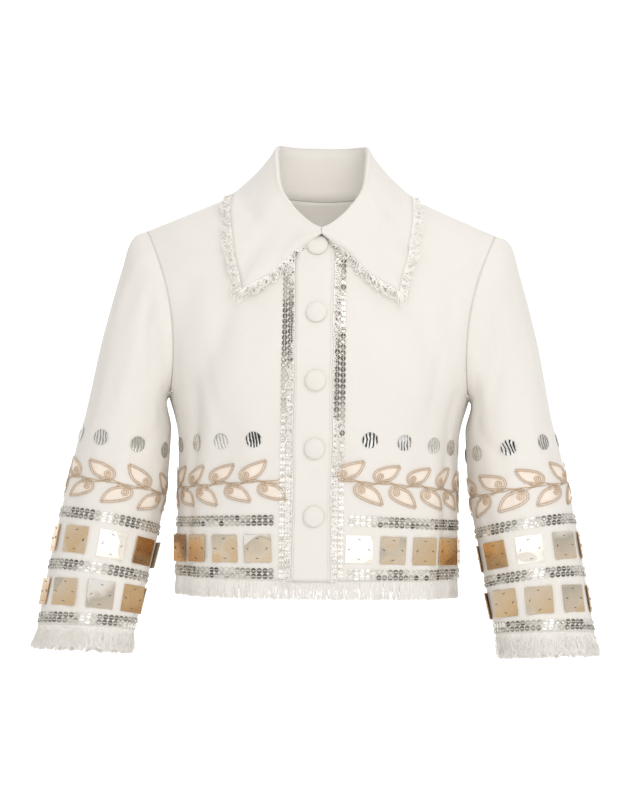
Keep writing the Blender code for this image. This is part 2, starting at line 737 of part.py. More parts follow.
def sleeve_shell(piece, loop, outward, turn_degrees):
    """One sleeve as a wall, closed round the arm."""
    grid, across = sleeve_grid(loop, turn_degrees)
    grid = grid * MM
    normals = -grid_normals(grid, True)
    centre = grid.mean(axis=1, keepdims=True)
    if np.sum(normals * (grid - centre)) < 0:
        normals = -normals
    shift = fold_shift(piece, across, grid[..., 2] / MM)
    shift[:2] = 0
    grid = grid + normals * shift[..., None] * MM
    normals[0] = outward
    grid[0, :, 0] += ARMHOLE_GAP
    inner = grid - normals * CLOTH
    if piece == "sleeve_right":
        grid, inner = mirrored(grid), mirrored(inner)
    return Shell(grid, inner, True)


def plate_cells(piece, columns):
    """First columns of the plates on a piece, two cells wide each."""
    if piece == "front_left":
        return [2 + COLUMNS_PER_PLATE * count for count in range(LEFT_PLATES)]
    last = columns - COLUMNS_PER_PLATE
    if piece == "front_right":
        return [last - 2 - COLUMNS_PER_PLATE * count for count in range(RIGHT_PLATES)]
    half = columns // 2
    left = [half + COLUMNS_PER_PLATE * count for count in range(BACK_HALF_PLATES)]
    return left + [last - start for start in left]


def make_body(shells, collection):
    """Objects of the fronts and the back with their plates."""
    for piece, shell in shells.items():
        bm, faces = shell_mesh(shell)
        for start in plate_cells(piece, shell.outer.shape[1]):
            raise_plate(bm, [faces[PLATE_ROW, start], faces[PLATE_ROW, start + 1]])
        new_object(piece, bm, IVORY, collection)


def make_sleeve(piece, shell, collection):
    """Object of one sleeve with two rows of plates."""
    bm, faces = shell_mesh(shell)
    names = [ring.name for ring in SLEEVE_RINGS]
    for name in SLEEVE_PLATE_RINGS:
        row = 1 + len(SLEEVE_CAP) + names.index(name)
        for plate in range(SLEEVE_PLATES):
            middle = COLUMNS_PER_PLATE * plate
            before = (middle - 1) % SLEEVE_COLUMNS
            raise_plate(bm, [faces[row, before], faces[row, middle]])
    new_object(piece, bm, IVORY, collection)


def band_shell(shells):
    """Button band, made from the two fronts' points beside centre front, moved out."""
    rows = len(LEVELS) + CENTRE_STEPS
    right = shells["front_right"].outer[:rows, -2]
    left = shells["front_left"].outer[:rows, 1]
    middle = shells["front_left"].outer[:rows, 0] * np.array([0, 1, 1])
    under = np.stack([right, middle, left], axis=1)
    normals = grid_normals(under, False)
    return Shell(under + normals * (SEAM_GAP + BAND_CLOTH), under + normals * SEAM_GAP, False)


def button_mesh():
    """Outline of a covered button, to be turned about its Z axis."""
    points = [(share * BUTTON_RADIUS, 0.0, high * BUTTON_HEIGHT) for share, high in BUTTON_OUTLINE]
    edges = [(place, place + 1) for place in range(len(points) - 1)]
    mesh = bpy.data.meshes.new("button_outline")
    mesh.from_pydata(points, edges, [])
    mesh.materials.append(material(COVERED))
    return mesh


def make_buttons(band, collection):
    """Covered buttons, each on the band with its back parallel to it."""
    tree = nearest_cloth([band.outer])
    mesh = button_mesh()
    for count in range(BUTTON_COUNT):
        ahead = Vector((BUTTON_X, AHEAD_Y, FIRST_BUTTON_Z - count * BUTTON_STEP))
        spot, normal, _, _ = tree.ray_cast(ahead, Vector((0, 1, 0)))
        if normal.y > 0:
            normal = -normal
        button = bpy.data.objects.new(f"button_{count + 1}", mesh)
        collection.objects.link(button)
        button.rotation_euler = normal.to_track_quat("Z", "Y").to_euler()
        button.location = spot + normal * BUTTON_GAP
        turning = button.modifiers.new("turned", "SCREW")
        turning.axis = "Z"
        turning.steps = BUTTON_SIDES
        turning.render_steps = BUTTON_SIDES
        turning.use_merge_vertices = True
        turning.merge_threshold = MERGE
        turning.use_smooth_shade = True


def collar_lines():
    """Neck seam, fold line and outer edge of the left half of the collar, column by column."""
    folds = smooth_line([(row.fold_x, row.fold_y, row.fold_z) for row in COLLAR], COLLAR_SPLIT)
    places = np.arange(len(folds)) / COLLAR_SPLIT
    stations = np.arange(len(COLLAR))
    turn_at = np.interp(places, stations, [row.turn for row in COLLAR])
    edges = np.array([(row.edge_x, row.edge_y, row.edge_z) for row in COLLAR])
    edge_at = np.stack([np.interp(places, stations, edges[:, axis]) for axis in range(3)], axis=1)
    necks = []
    for turn in turn_at:
        if turn <= SIDE_TURN:
            necks.append(neckline(turn / SIDE_TURN, BACK_NECK_Y, BACK_NECK_Z))
        else:
            necks.append(neckline((1 - turn) / SIDE_TURN, FRONT_NECK_Y, FRONT_NECK_Z))
    return np.array(necks) * MM, folds * MM, edge_at * MM


def whole_collar(half):
    """Both halves of a collar grid, joined at centre back."""
    return np.concatenate([half[:, ::-1], mirrored(half[:, 1:])], axis=1)


def collar_shells(tree):
    """Stand and fall of the collar as walls."""
    necks, folds, edges = collar_lines()
    out = unit(np.gradient(folds, axis=0))
    out = unit(np.stack([out[:, 1], -out[:, 0], np.zeros(len(out))], axis=1))
    out *= np.where(np.sum(out * (edges - folds), axis=1) < 0, -1, 1)[:, None]
    rise = unit(folds - necks)
    top = folds - np.array([0, 0, SEAM_GAP])
    stand = np.stack([necks + rise * NECK_CLEAR, (necks + folds) / 2, top])
    radius = COLLAR_FOLD_RADIUS * MM
    rows = []
    for degrees in COLLAR_FOLD_DEGREES:
        angle = math.radians(degrees)
        up = np.array([0, 0, radius * math.sin(angle)])
        rows.append(folds + out * radius * (1 - math.cos(angle)) + up)
    start = rows[-1]
    for share in FALL_SHARES:
        bow = out * FALL_BOW * MM * math.sin(math.pi * share)
        rows.append(start + (edges - start) * share + bow)
    fall = np.array(rows)
    folded = len(COLLAR_FOLD_DEGREES) - 1
    resting = rest_cells_on(fall[folded:], tree, BAND_CLOTH + FALL_CLEAR)
    fall = np.concatenate([fall[:folded], resting])
    made = {}
    toward_neck = whole_collar(-out[None])[0]
    for name, half, fold_row in (("collar_stand", stand, -1), ("collar_fall", fall, 0)):
        grid = whole_collar(half)
        normals = grid_normals(grid, False)
        if np.sum(normals[fold_row] * toward_neck) < 0:
            normals = -normals
        normals[fold_row] = toward_neck
        made[name] = Shell(grid, grid - normals * BAND_CLOTH, False)
    return made


def edge_away(line, facing, inward):
    """Ways that lead straight off an edge in its own surface, longer at its corners."""
    steps = unit(np.diff(line, axis=0))
    sides = unit(np.cross(steps, (facing[:-1] + facing[1:]) / 2))
    before = np.vstack([sides[:1], sides])
    after = np.vstack([sides, sides[-1:]])
    away = unit(before + after)
    away /= np.maximum(np.sum(away * after, axis=1, keepdims=True), MITRE_FLOOR)
    toward = np.sum(away * inward, axis=1, keepdims=True)
    return np.where(toward > 0, -away, away)


def fringe(name, outer, inner, down, lock, count, collection, closed, tree=None):
    """Frayed edge: a narrow strip beside the cloth's edge with tapered locks fused to it.

    The locks are spaced evenly, or one to each step of the edge where their count is 0.
    """
    if closed:
        outer, inner, down = (np.vstack([line, line[:1]]) for line in (outer, inner, down))
    along = arc_lengths(outer)
    places = np.linspace(0, along[-1], count + 1) if count else along
    count = len(places) - 1

    def spread(line):
        return np.stack([np.interp(places, along, line[:, axis]) for axis in range(3)], axis=1)

    outer, inner, down = spread(outer), spread(inner), spread(down)
    if closed:
        outer, inner, down = outer[:-1], inner[:-1], down[:-1]
    bm = bmesh.new()
    foot = SEAM_GAP + STRIP
    corners = {}
    for key, line, reach, clear in (
        ("outer head", outer, SEAM_GAP, 0), ("inner head", inner, SEAM_GAP, 0),
        ("outer foot", outer, foot, LOCK_CLEAR + BAND_CLOTH), ("inner foot", inner, foot, LOCK_CLEAR),
    ):
        points = line + down * reach
        if tree and clear:
            points = rest_on(points, tree, clear)
        corners[key] = [bm.verts.new(point) for point in points]
    total = len(outer)
    for place in range(count):
        after = (place + 1) % total
        oh, oh2 = corners["outer head"][place], corners["outer head"][after]
        ih, ih2 = corners["inner head"][place], corners["inner head"][after]
        of, of2 = corners["outer foot"][place], corners["outer foot"][after]
        inf, inf2 = corners["inner foot"][place], corners["inner foot"][after]
        bm.faces.new((oh, oh2, ih2, ih))
        bm.faces.new((oh, of, of2, oh2))
        bm.faces.new((ih, ih2, inf2, inf))
        way = Vector(down[place] + down[after]).normalized()
        length = lock * (1 - LOCK_UNEVEN + LOCK_UNEVEN * math.sin(LOCK_UNEVEN_STEP * place))
        middle = (of.co + of2.co + inf.co + inf2.co) / 4
        reach = (of2.co - of.co) * LOCK_TIP / 2
        sway = (of2.co - of.co) * LOCK_SWAY * math.sin(LOCK_SWAY_STEP * place)
        tip = middle + way * length + sway
        if tree:
            tip = Vector(rest_on(np.array([tip]), tree, 2 * LOCK_CLEAR)[0])
        start, end = bm.verts.new(tip - reach), bm.verts.new(tip + reach)
        bm.faces.new((of, start, end, of2))
        bm.faces.new((inf, inf2, end, start))
        bm.faces.new((of, inf, start))
        bm.faces.new((of2, end, inf2))
    if not closed:
        section = ("outer head", "inner head", "inner foot", "outer foot")
        for place in (0, total - 1):
            bm.faces.new([corners[key][place] for key in section])
    new_object(name, bm, FRAYED, collection)


def make_fringes(shells, tree, collection):
    """Frayed hem, cuffs, collar edge and band edges."""
    left, right, back = (shells[name] for name in ("front_left", "front_right", "back_panel"))
    outer = np.vstack([left.outer[0], back.outer[0, ::-1], right.outer[0]])
    inner = np.vstack([left.inner[0], back.inner[0, ::-1], right.inner[0]])
    down = np.tile(np.array([0, 0, -1.0]), (len(outer), 1))
    fringe("hem_fringe", outer, inner, down, HEM_LOCK, HEM_LOCKS, collection, False)
    for side in ("left", "right"):
        shell = shells[f"sleeve_{side}"]
        last_ring = shell.outer[-1] - shell.outer[-2]
        down = np.tile(unit(last_ring.mean(axis=0)), (len(last_ring), 1))
        edges = (shell.outer[-1], shell.inner[-1])
        fringe(f"cuff_fringe_{side}", *edges, down, CUFF_LOCK, CUFF_LOCKS, collection, True)
    fall = shells["collar_fall"]
    skipped = (len(COLLAR) - 1 - FRINGED_STATIONS) * COLLAR_SPLIT
    kept = slice(skipped, fall.outer.shape[1] - skipped)
    facing = unit(fall.outer[-1] - fall.inner[-1])
    away = edge_away(fall.outer[-1], facing, fall.outer[-2] - fall.outer[-1])
    lifted = (away + facing * COLLAR_LOCK_LIFT)[kept]
    edges = (fall.outer[-1, kept], fall.inner[-1, kept])
    fringe("collar_fringe", *edges, lifted, COLLAR_LOCK, 0, collection, False, tree)
    band = shells["placket"]
    for side, column in (("left", -1), ("right", 0)):
        rows = slice(0, len(LEVELS) + CENTRE_STEPS - BAND_BARE_ROWS)
        aside = unit(band.outer[rows, column] - band.outer[rows, 1])
        lifted = unit(aside + np.array([0, -BAND_LOCK_LIFT, 0]))
        edges = (band.outer[rows, column], band.inner[rows, column])
        fringe(f"placket_fringe_{side}", *edges, lifted, BAND_LOCK, BAND_LOCKS, collection, False)


def main():
    """Build every piece of the jacket."""
    clear_scene()
    collection = bpy.data.collections.new(JACKET)
    bpy.context.scene.collection.children.link(collection)
    shells, loop, outward = body_shells()
    make_body(shells, collection)
    for piece, turn in (("sleeve_left", PLATE_TURN_LEFT), ("sleeve_right", PLATE_TURN_RIGHT)):
        shells[piece] = sleeve_shell(piece, loop, outward, turn)
        make_sleeve(piece, shells[piece], collection)
    shells["placket"] = band_shell(shells)
    new_object("placket", shell_mesh(shells["placket"])[0], IVORY_BAND, collection)
    make_buttons(shells["placket"], collection)
    body = [shells[name].outer for name in ("front_left", "front_right", "placket")]
    body.append(shells["back_panel"].outer[:, ::-1])
    tree = nearest_cloth(body)
    shells.update(collar_shells(tree))
    for name in ("collar_stand", "collar_fall"):
        new_object(name, shell_mesh(shells[name])[0], IVORY_BAND, collection)
    make_fringes(shells, tree, collection)


main()
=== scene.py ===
"""Cropped ivory jacket with sewn metal squares, mirrors, sequins, a couched vine and frayed edges.

The frame is that of the solids: the origin is the middle of the neck base, +X is the wearer's
left, the front faces -Y and +Z is up. Tables are in millimetres and are scaled by MM.
"""

import math
import random
from collections import namedtuple

import bpy
import numpy as np
from bpy.props import FloatProperty, FloatVectorProperty, IntProperty, PointerProperty
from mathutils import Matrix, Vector
from mathutils.bvhtree import BVHTree


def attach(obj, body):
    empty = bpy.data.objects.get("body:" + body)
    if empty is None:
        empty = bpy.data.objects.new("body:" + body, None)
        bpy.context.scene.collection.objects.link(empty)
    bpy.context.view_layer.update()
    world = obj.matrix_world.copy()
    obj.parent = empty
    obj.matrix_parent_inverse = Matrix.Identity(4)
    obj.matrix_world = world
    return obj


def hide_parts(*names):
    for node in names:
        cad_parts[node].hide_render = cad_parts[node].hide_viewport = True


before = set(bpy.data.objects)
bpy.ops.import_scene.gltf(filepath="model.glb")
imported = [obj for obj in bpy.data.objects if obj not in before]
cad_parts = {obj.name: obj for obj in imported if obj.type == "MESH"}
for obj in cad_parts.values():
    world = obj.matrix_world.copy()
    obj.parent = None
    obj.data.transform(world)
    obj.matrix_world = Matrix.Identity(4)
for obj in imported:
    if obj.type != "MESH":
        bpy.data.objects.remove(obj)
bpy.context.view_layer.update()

bl_info = {
    "name": "Embellished Jacket",
    "version": (1, 0, 0),
    "blender": (4, 5, 0),
    "location": "View3D > Sidebar > Jacket",
    "description": "Builds a cropped jacket with sewn plates, mirrors, sequins, a vine and fraying",
    "category": "Add Mesh",
}

MM = 0.001

# Neck, shoulder and side seam
NECK_HALF_WIDTH = 70.0
NECK_POINT_Y = 4.0
NECK_POINT_Z = 6.0
FRONT_NECK_Y = -77.0
FRONT_NECK_Z = -50.0
BACK_NECK_Y = 52.0
BACK_NECK_Z = -8.0
SIDE_SEAM_Y = 8.0
HEM_Z = -422.5

# Levels of the body from hem to underarm: heights at centre front, centre back and side seam
Level = namedtuple("Level", "name front_z back_z side_z side_x")
LEVELS = [
    Level("hem", HEM_Z, HEM_Z, HEM_Z, 155.5),
    Level("plate foot", -399.5, -403.5, -406.0, 155.2),
    Level("plate head", -370.0, -374.0, -376.5, 154.7),
    Level("vine", -313.0, -322.0, -329.0, 153.8),
    Level("discs", -268.0, -277.0, -282.0, 153.8),
    Level("side top", -239.0, -248.0, -256.0, 157.0),
    Level("underarm", -211.0, -220.0, -228.0, 165.0),
]
ARMHOLE_STEPS = 12
CENTRE_STEPS = 7
CENTRE_TOP = len(LEVELS) - 1 + CENTRE_STEPS

Depth = namedtuple("Depth", "z y")
FRONT_DEPTH = [
    Depth(HEM_Z, -104.0), Depth(-370.0, -107.0), Depth(-313.0, -112.0), Depth(-268.0, -116.5),
    Depth(-211.0, -121.0), Depth(-184.0, -120.5), Depth(-132.0, -111.0), Depth(-80.0, -91.0),
    Depth(FRONT_NECK_Z, FRONT_NECK_Y),
]
BACK_DEPTH = [
    Depth(HEM_Z, 92.0), Depth(-370.0, 92.5), Depth(-322.0, 95.0), Depth(-277.0, 99.0),
    Depth(-220.0, 105.0), Depth(-165.0, 108.0), Depth(-120.0, 105.0), Depth(-80.0, 96.0),
    Depth(-45.0, 80.0), Depth(-20.0, 63.0), Depth(BACK_NECK_Z, BACK_NECK_Y),
]

# Armhole seam of the left side, from the shoulder tip down the front and up the back
Point = namedtuple("Point", "x y z")
SHOULDER_TIP = Point(192.0, 2.0, -46.0)
UNDERARM = Point(165.0, SIDE_SEAM_Y, -228.0)
ARMHOLE_FRONT = [
    SHOULDER_TIP, Point(187.5, -20.0, -54.0), Point(180.0, -39.0, -71.0), Point(170.0, -54.0, -99.0),
    Point(161.5, -61.0, -137.0), Point(158.5, -60.0, -178.0), Point(160.5, -42.0, -211.0),
    Point(164.0, -12.0, -226.0), UNDERARM,
]
ARMHOLE_BACK = [
    UNDERARM, Point(166.0, 30.0, -223.0), Point(167.0, 52.0, -204.0), Point(170.0, 64.0, -170.0),
    Point(175.0, 64.0, -130.0), Point(181.0, 52.0, -92.0), Point(187.5, 28.0, -61.0), SHOULDER_TIP,
]

# Shape of a body row: the share of a quarter turn that it makes, and how full its bow is
FULL_TURN = 1.0
BODY_FULL = 0.88
NECK_TURN = 0.50
CHEST_FULL = 0.96
ROW_SAMPLES = 160
BUST_OUT = 6.0
BUST_Z = -205.0
BUST_SPREAD_Z = 55.0
BUST_MIDDLE = 0.42
BUST_SPREAD = 0.20

# Sleeve cap of the left side: top line and under line of each ring, and the armhole's share in it
Cap = namedtuple("Cap", "top_x top_z under_x under_z half_depth y armhole_share")
SLEEVE_CAP = [
    Cap(204.0, -50.5, 167.2, -231.5, 62.0, 3.0, 0.80),
    Cap(211.5, -62.0, 167.4, -236.5, 61.0, 2.0, 0.55),
    Cap(218.0, -86.0, 166.2, -242.0, 60.5, 1.0, 0.30),
    Cap(227.5, -120.0, 164.6, -247.5, 60.0, 0.0, 0.12),
    Cap(240.5, -172.0, 163.0, -253.5, 59.0, -1.0, 0.0),
]
FIRST_CAP_DEPTH = 62.0
RING_POINTS = 1441
Ring = namedtuple("Ring", "name x y z half_width half_depth side_tilt front_tilt")
SLEEVE_RINGS = [
    Ring("upper arm", 208.5, -1.5, -253.0, 47.5, 58.0, 11.0, 1.0),
    Ring("discs", 212.8, -3.0, -279.0, 50.5, 57.0, 10.2, 3.0),
    Ring("elbow", 216.5, -5.0, -303.0, 52.5, 56.0, 9.8, 4.0),
    Ring("vine", 220.5, -7.0, -326.0, 54.0, 55.0, 9.5, 5.0),
    Ring("forearm", 225.3, -9.5, -352.0, 54.2, 53.2, 9.5, 6.0),
    Ring("upper plate head", 230.5, -12.5, -377.7, 54.2, 52.0, 9.2, 7.0),
    Ring("upper plate foot", 236.3, -16.5, -407.3, 54.0, 50.6, 8.0, 7.5),
    Ring("lower plate head", 241.0, -19.7, -431.7, 53.8, 49.6, 6.3, 7.3),
    Ring("lower plate foot", 246.8, -24.0, -461.3, 53.6, 48.4, 3.6, 7.0),
    Ring("cuff", 250.5, -26.5, -481.0, 53.5, 47.8, 2.2, 7.0),
]
# Turn of the rows round each sleeve, in degrees towards the body from straight ahead
PLATE_TURN = {"sleeve_left": 3.5, "sleeve_right": 12.5}
DISC_TURN = {"sleeve_left": 4.0, "sleeve_right": 6.5}

# Folds: ends of each fold as a distance across its piece and a height, half width, way out
Fold = namedtuple("Fold", "piece top_across top_z foot_across foot_z half_width out")
FOLDS = [
    Fold("front_right", 146.0, -205.0, 163.0, -430.0, 10.0, -3.2),
    Fold("front_right", 124.0, -230.0, 139.0, -430.0, 12.0, 1.8),
    Fold("front_right", 100.0, -120.0, 128.0, -200.0, 12.0, -2.0),
    Fold("front_left", 168.0, -215.0, 151.0, -430.0, 10.0, -3.4),
    Fold("front_left", 140.0, -235.0, 126.0, -430.0, 12.0, 1.6),
    Fold("front_left", 104.0, -110.0, 132.0, -190.0, 13.0, -2.0),
    Fold("back_panel", -84.0, -170.0, -112.0, -430.0, 13.0, -3.0),
    Fold("back_panel", -34.0, -240.0, -48.0, -430.0, 14.0, 2.0),
    Fold("back_panel", 62.0, -190.0, 92.0, -430.0, 14.0, -3.2),
    Fold("back_panel", 150.0, -120.0, 120.0, -230.0, 12.0, -2.2),
    Fold("back_panel", -150.0, -125.0, -126.0, -240.0, 12.0, -2.0),
    Fold("sleeve_left", 84.0, -110.0, 112.0, -235.0, 12.0, -2.6),
    Fold("sleeve_left", 68.0, -290.0, 118.0, -318.0, 10.0, -2.4),
    Fold("sleeve_left", 250.0, -270.0, 205.0, -320.0, 11.0, -2.4),
    Fold("sleeve_right", 88.0, -100.0, 110.0, -225.0, 12.0, -2.4),
    Fold("sleeve_right", 60.0, -300.0, 112.0, -322.0, 10.0, -2.6),
    Fold("sleeve_right", 246.0, -262.0, 200.0, -316.0, 11.0, -2.2),
    Fold("front_right", 138.0, -170.0, 108.0, -262.0, 7.0, -1.3),
    Fold("front_right", 60.0, -150.0, 74.0, -330.0, 16.0, 1.1),
    Fold("front_left", 148.0, -160.0, 122.0, -250.0, 7.0, -1.2),
    Fold("front_left", 58.0, -170.0, 66.0, -350.0, 16.0, 1.0),
    Fold("back_panel", 12.0, -130.0, 24.0, -380.0, 18.0, 1.2),
    Fold("back_panel", -120.0, -60.0, -60.0, -130.0, 12.0, -1.1),
    Fold("back_panel", 128.0, -70.0, 70.0, -140.0, 12.0, -1.0),
    Fold("sleeve_left", 30.0, -70.0, 44.0, -250.0, 14.0, 1.5),
    Fold("sleeve_left", 140.0, -230.0, 92.0, -300.0, 7.0, -1.4),
    Fold("sleeve_left", 300.0, -90.0, 285.0, -260.0, 12.0, -1.4),
    Fold("sleeve_right", 34.0, -70.0, 40.0, -240.0, 14.0, 1.4),
    Fold("sleeve_right", 142.0, -222.0, 88.0, -296.0, 7.0, -1.5),
    Fold("sleeve_right", 298.0, -95.0, 280.0, -250.0, 12.0, -1.3),
]
FOLD_FADE = 28.0
# Lengths of the waves of unevenness, their height, and how they fade towards seams and shoulder
UNEVEN_WAVES = (41.0, 57.0, 78.0, 118.0)
UNEVEN_OUT = 0.32
UNEVEN_FADE = 24.0
UNEVEN_ROWS = 2.0

# Collar of the left half, from centre back to centre front: the fold line and the outer edge
Station = namedtuple("Station", "name turn fold_x fold_y fold_z edge_x edge_y edge_z")
COLLAR = [
    Station("centre back", 0.0, 0.0, 46.0, 50.0, 0.0, 76.0, -22.0),
    Station("back", 0.22, 26.0, 42.0, 50.0, 44.0, 70.0, -19.0),
    Station("back side", 0.40, 44.0, 26.0, 50.5, 82.0, 44.0, -11.0),
    Station("side", 0.50, 48.5, 3.0, 46.0, 98.0, 6.0, -3.0),
    Station("front side", 0.60, 47.5, -22.0, 26.0, 99.0, -34.0, -30.0),
    Station("front", 0.74, 43.0, -43.0, 0.0, 92.5, -70.0, -74.0),
    Station("point", 0.86, 28.0, -61.0, -23.0, 84.5, -98.0, -112.5),
    Station("lower edge", 0.92, 17.0, -70.0, -34.0, 54.5, -95.0, -95.0),
    Station("inner edge", 0.965, 8.5, -76.0, -41.0, 27.0, -90.0, -68.0),
    Station("centre front", 0.995, 0.15, -80.5, -45.5, 0.2, -83.0, -51.5),
]
SIDE_TURN = 0.5
COLLAR_SPLIT = 8
COLLAR_FOLD_RADIUS = 2.0
COLLAR_FOLD_DEGREES = (0, 30, 60, 90, 120, 150, 180)
FALL_ROWS = 12
FALL_BOW_TURNS = (0.0, 0.3, 0.45, 0.6, 0.76, 1.0)
FALL_BOW = (4.0, 1.0, -4.0, -3.5, 3.0, 5.0)
FALL_CLEAR = 2.2
COLLAR_AHEAD = (0.93, 0.985)
FALL_WAVE = 0.55
STAND_ROWS = 6
NECK_CLEAR = 0.1

# Fineness of the cloth: rows to each row of the tables, and columns of each piece
ROW_SPLIT = 5
FRONT_COLUMNS = 60
BACK_COLUMNS = 120
SLEEVE_COLUMNS = 96

# Button band and buttons
BAND_RIGHT = 28.0
BAND_LEFT = 15.0
BAND_COLUMNS = 12
BAND_MOST = 0.24
BAND_WANDER = 0.55
BAND_PUCKER = 0.30
BUTTON_X = -4.0
FIRST_BUTTON_Z = -63.0
BUTTON_STEP = 72.5
BUTTON_COUNT = 5
AHEAD_Y = -1.0
BUTTON_OUTLINE = (
    (0.0, 1.0), (0.18, 0.995), (0.38, 0.965), (0.56, 0.91), (0.72, 0.83), (0.85, 0.72), (0.94, 0.58),
    (0.99, 0.42), (1.0, 0.28), (0.985, 0.15), (0.93, 0.05), (0.86, 0.0), (0.0, 0.0),
)

# Rows of sewn-on things
BODY_PITCH = 38.0
PLATE_SIDE = 29.5
SLEEVE_PLATES = 8
LEFT_FIRST_PLATE = 30.0
LEFT_PLATES = 5
RIGHT_FIRST_PLATE = 49.0
RIGHT_PLATES = 4
BACK_HALF_PLATES = 5
LEFT_FIRST_DISC = 53.0
LEFT_DISCS = 5
RIGHT_FIRST_DISC = 67.0
RIGHT_DISCS = 4
BACK_HALF_DISCS = 5
DISC_LEVEL = 4.0
VINE_LEVEL = 3.0
BODY_PLATE_LEVEL = 1.5
BODY_BAND_LEVELS = (2.27, 0.36)
SLEEVE_PLATE_LEVELS = (1.5, 3.5)
SLEEVE_BAND_LEVELS = (4.5, 2.5, 0.42)
SLEEVE_VINE_LEVEL = 6.0
SLEEVE_DISC_LEVEL = 8.0
LEFT_STRIP = 19.0
RIGHT_STRIP = 32.0
LEFT_BAND_START = 33.0
RIGHT_BAND_START = 46.0

# Painted reflection tones of the plates on the fronts, outwards from the band: 0 is deep bronze and 1 is a
# white painted flash
LEFT_PLATE_TONES = (1.0, 0.72, 0.45, 0.30, 0.22)
RIGHT_PLATE_TONES = (0.84, 0.62, 0.55, 0.08)
# Painted reflection tones of the sleeve mirrors, repeating round each sleeve; higher tones give stronger
# painted dark and bright waves
SLEEVE_DISC_TONES = {"sleeve_left": (0.2, 0.5, 1.0, 0.3), "sleeve_right": (0.2, 0.5, 0.38, 0.25)}

# Outline of one leaf beside the stem: the way it points, and up from the stem's middle
LEAF_BELLY = [
    (8.0, 0.9), (1.0, 0.5), (-5.0, 2.2), (-8.2, 6.6), (-6.8, 12.0), (-0.4, 16.0), (9.0, 19.2), (21.5, 21.4),
]
LEAF_BACK = [(21.5, 21.4), (19.0, 14.2), (14.6, 7.8), (9.6, 4.6), (5.0, 3.6)]
LEAF_CURL = (-0.6, 7.6)
LEAF_CURL_RADIUS = (4.7, 0.7)
LEAF_CURL_TURNS = 2.1
LEAF_CURL_START = -0.9
CORD_PARTING = 2.9
OVER_SEQUINS = 1.0
# How much darker each sequin's rim is painted, as a share of how far its tone is from white: painted shade
# between neighbours
SEQUIN_RIM_SHADE = 0.45
# Painted dark and white reflection stretches of a sleeve's sequin rows: distance from the flash, reach in
# metres, brightness
SLEEVE_FLASHES = [(0.028, 0.011, 0.24), (-0.030, 0.011, 0.34), (0.0, 0.010, 0.97)]
# Where the painted white flash sits on each sleeve, in metres on from the sleeve's front
SLEEVE_FLASH = {"sleeve_left": 0.004, "sleeve_right": -0.012}
# Painted white and dark reflection stretches of the upright sequin strips: middle above the hem, reach in
# metres, brightness
STRIP_FLASHES = {
    "front_left": [(0.06, 0.085, 0.97), (0.225, 0.045, 0.24)],
    "front_right": [(0.09, 0.105, 0.97), (0.275, 0.040, 0.28)],
}
STRIPS_REACH = 41.0
TAIL_LENGTH = 17.0
TAIL_SPREAD = 3.6
STITCH_LONG = 2.3
STITCH_STEP = 3.4
STITCH_RADIUS = 0.2
# Painted glow of the fine threads, as a share of their colour, that lifts them out of the shade they cast on
# each other
THREAD_PAINTED_GLOW = 0.06
# Tones from which plates and sequins are painted as a white flash with a painted glow, and that glow
FLASH_PLATE_TONE = 0.93
PLATE_PAINTED_GLOW = (0.34, 0.34, 0.33)
FLASH_SEQUIN_TONE = 0.90
SEQUIN_PAINTED_GLOW = (0.24, 0.24, 0.235)
NO_LIGHT = (0.0, 0.0, 0.0)
# From one ridge to the next in the weave, the twist of thread and cord, the satin and the foil
WEAVE_PITCH = 0.62
THREAD_TWIST = 1.1
CORD_TWIST = 1.5
SATIN_PITCH = 0.55
FOIL_WAVE = 3.6
PLATE_STITCH_RADIUS = 0.40
SEQUIN_THREAD_RADIUS = 0.30
SEQUIN_THREAD_LIFT = 1.35
# A point in metres that the collar lies round
COLLAR_MIDDLE = np.array([0, 0, -0.1])

SEED = 7
rng = random.Random(SEED)


def length_property(name, description, default):
    """Property for a length in metres."""
    return FloatProperty(name=name, description=description, default=default, unit="LENGTH")


def colour_property(name, description, default):
    """Property for a colour, each part of it from 0 to 1."""
    return FloatVectorProperty(
        name=name, description=description, default=default, subtype="COLOR", min=0, max=1)


class JacketSizes(bpy.types.PropertyGroup):
    """Sizes of the jacket's cloth and of what is sewn on it."""

    cloth: length_property("Cloth", "Thickness of the cloth", 0.0016)
    band_cloth: length_property("Collar and band cloth", "Thickness of collar and button band", 0.0015)
    button_radius: length_property("Button radius", "Half the width of a button", 0.01125)
    button_height: length_property("Button height", "How far a button stands up", 0.005)
    plate: length_property("Plate", "Side of a square metal plate", 0.0295)
    plate_thickness: length_property("Plate thickness", "Thickness of a metal plate", 0.0008)
    disc_radius: length_property("Mirror radius", "Half the width of a round mirror", 0.0086)
    sequin_radius: length_property("Sequin radius", "Half the width of a sequin", 0.00278)
    sequin_pitch: length_property("Sequin pitch", "From one sequin to the next in a row", 0.0062)
    cord_radius: length_property("Cord radius", "Half the thickness of the couched cord", 0.00037)
    leaf_pitch: length_property("Leaf pitch", "From one leaf to the next on one side of the stem", 0.038)
    hem_fray: length_property("Hem fringe", "Length of the threads at the hem", 0.0212)
    cuff_fray: length_property("Cuff fringe", "Length of the threads at the cuffs", 0.0262)
    edge_fray: length_property("Edge fraying", "Length of the threads at collar and band", 0.0098)
    thread_radius: length_property("Thread radius", "Half the thickness of a frayed thread", 0.00030)
    fray_gap: length_property("Thread spacing", "From one frayed thread to the next", 0.00056)
    fray_layers: IntProperty(
        name="Thread layers", description="Layers of threads in a fringe", default=2, min=1, max=3)


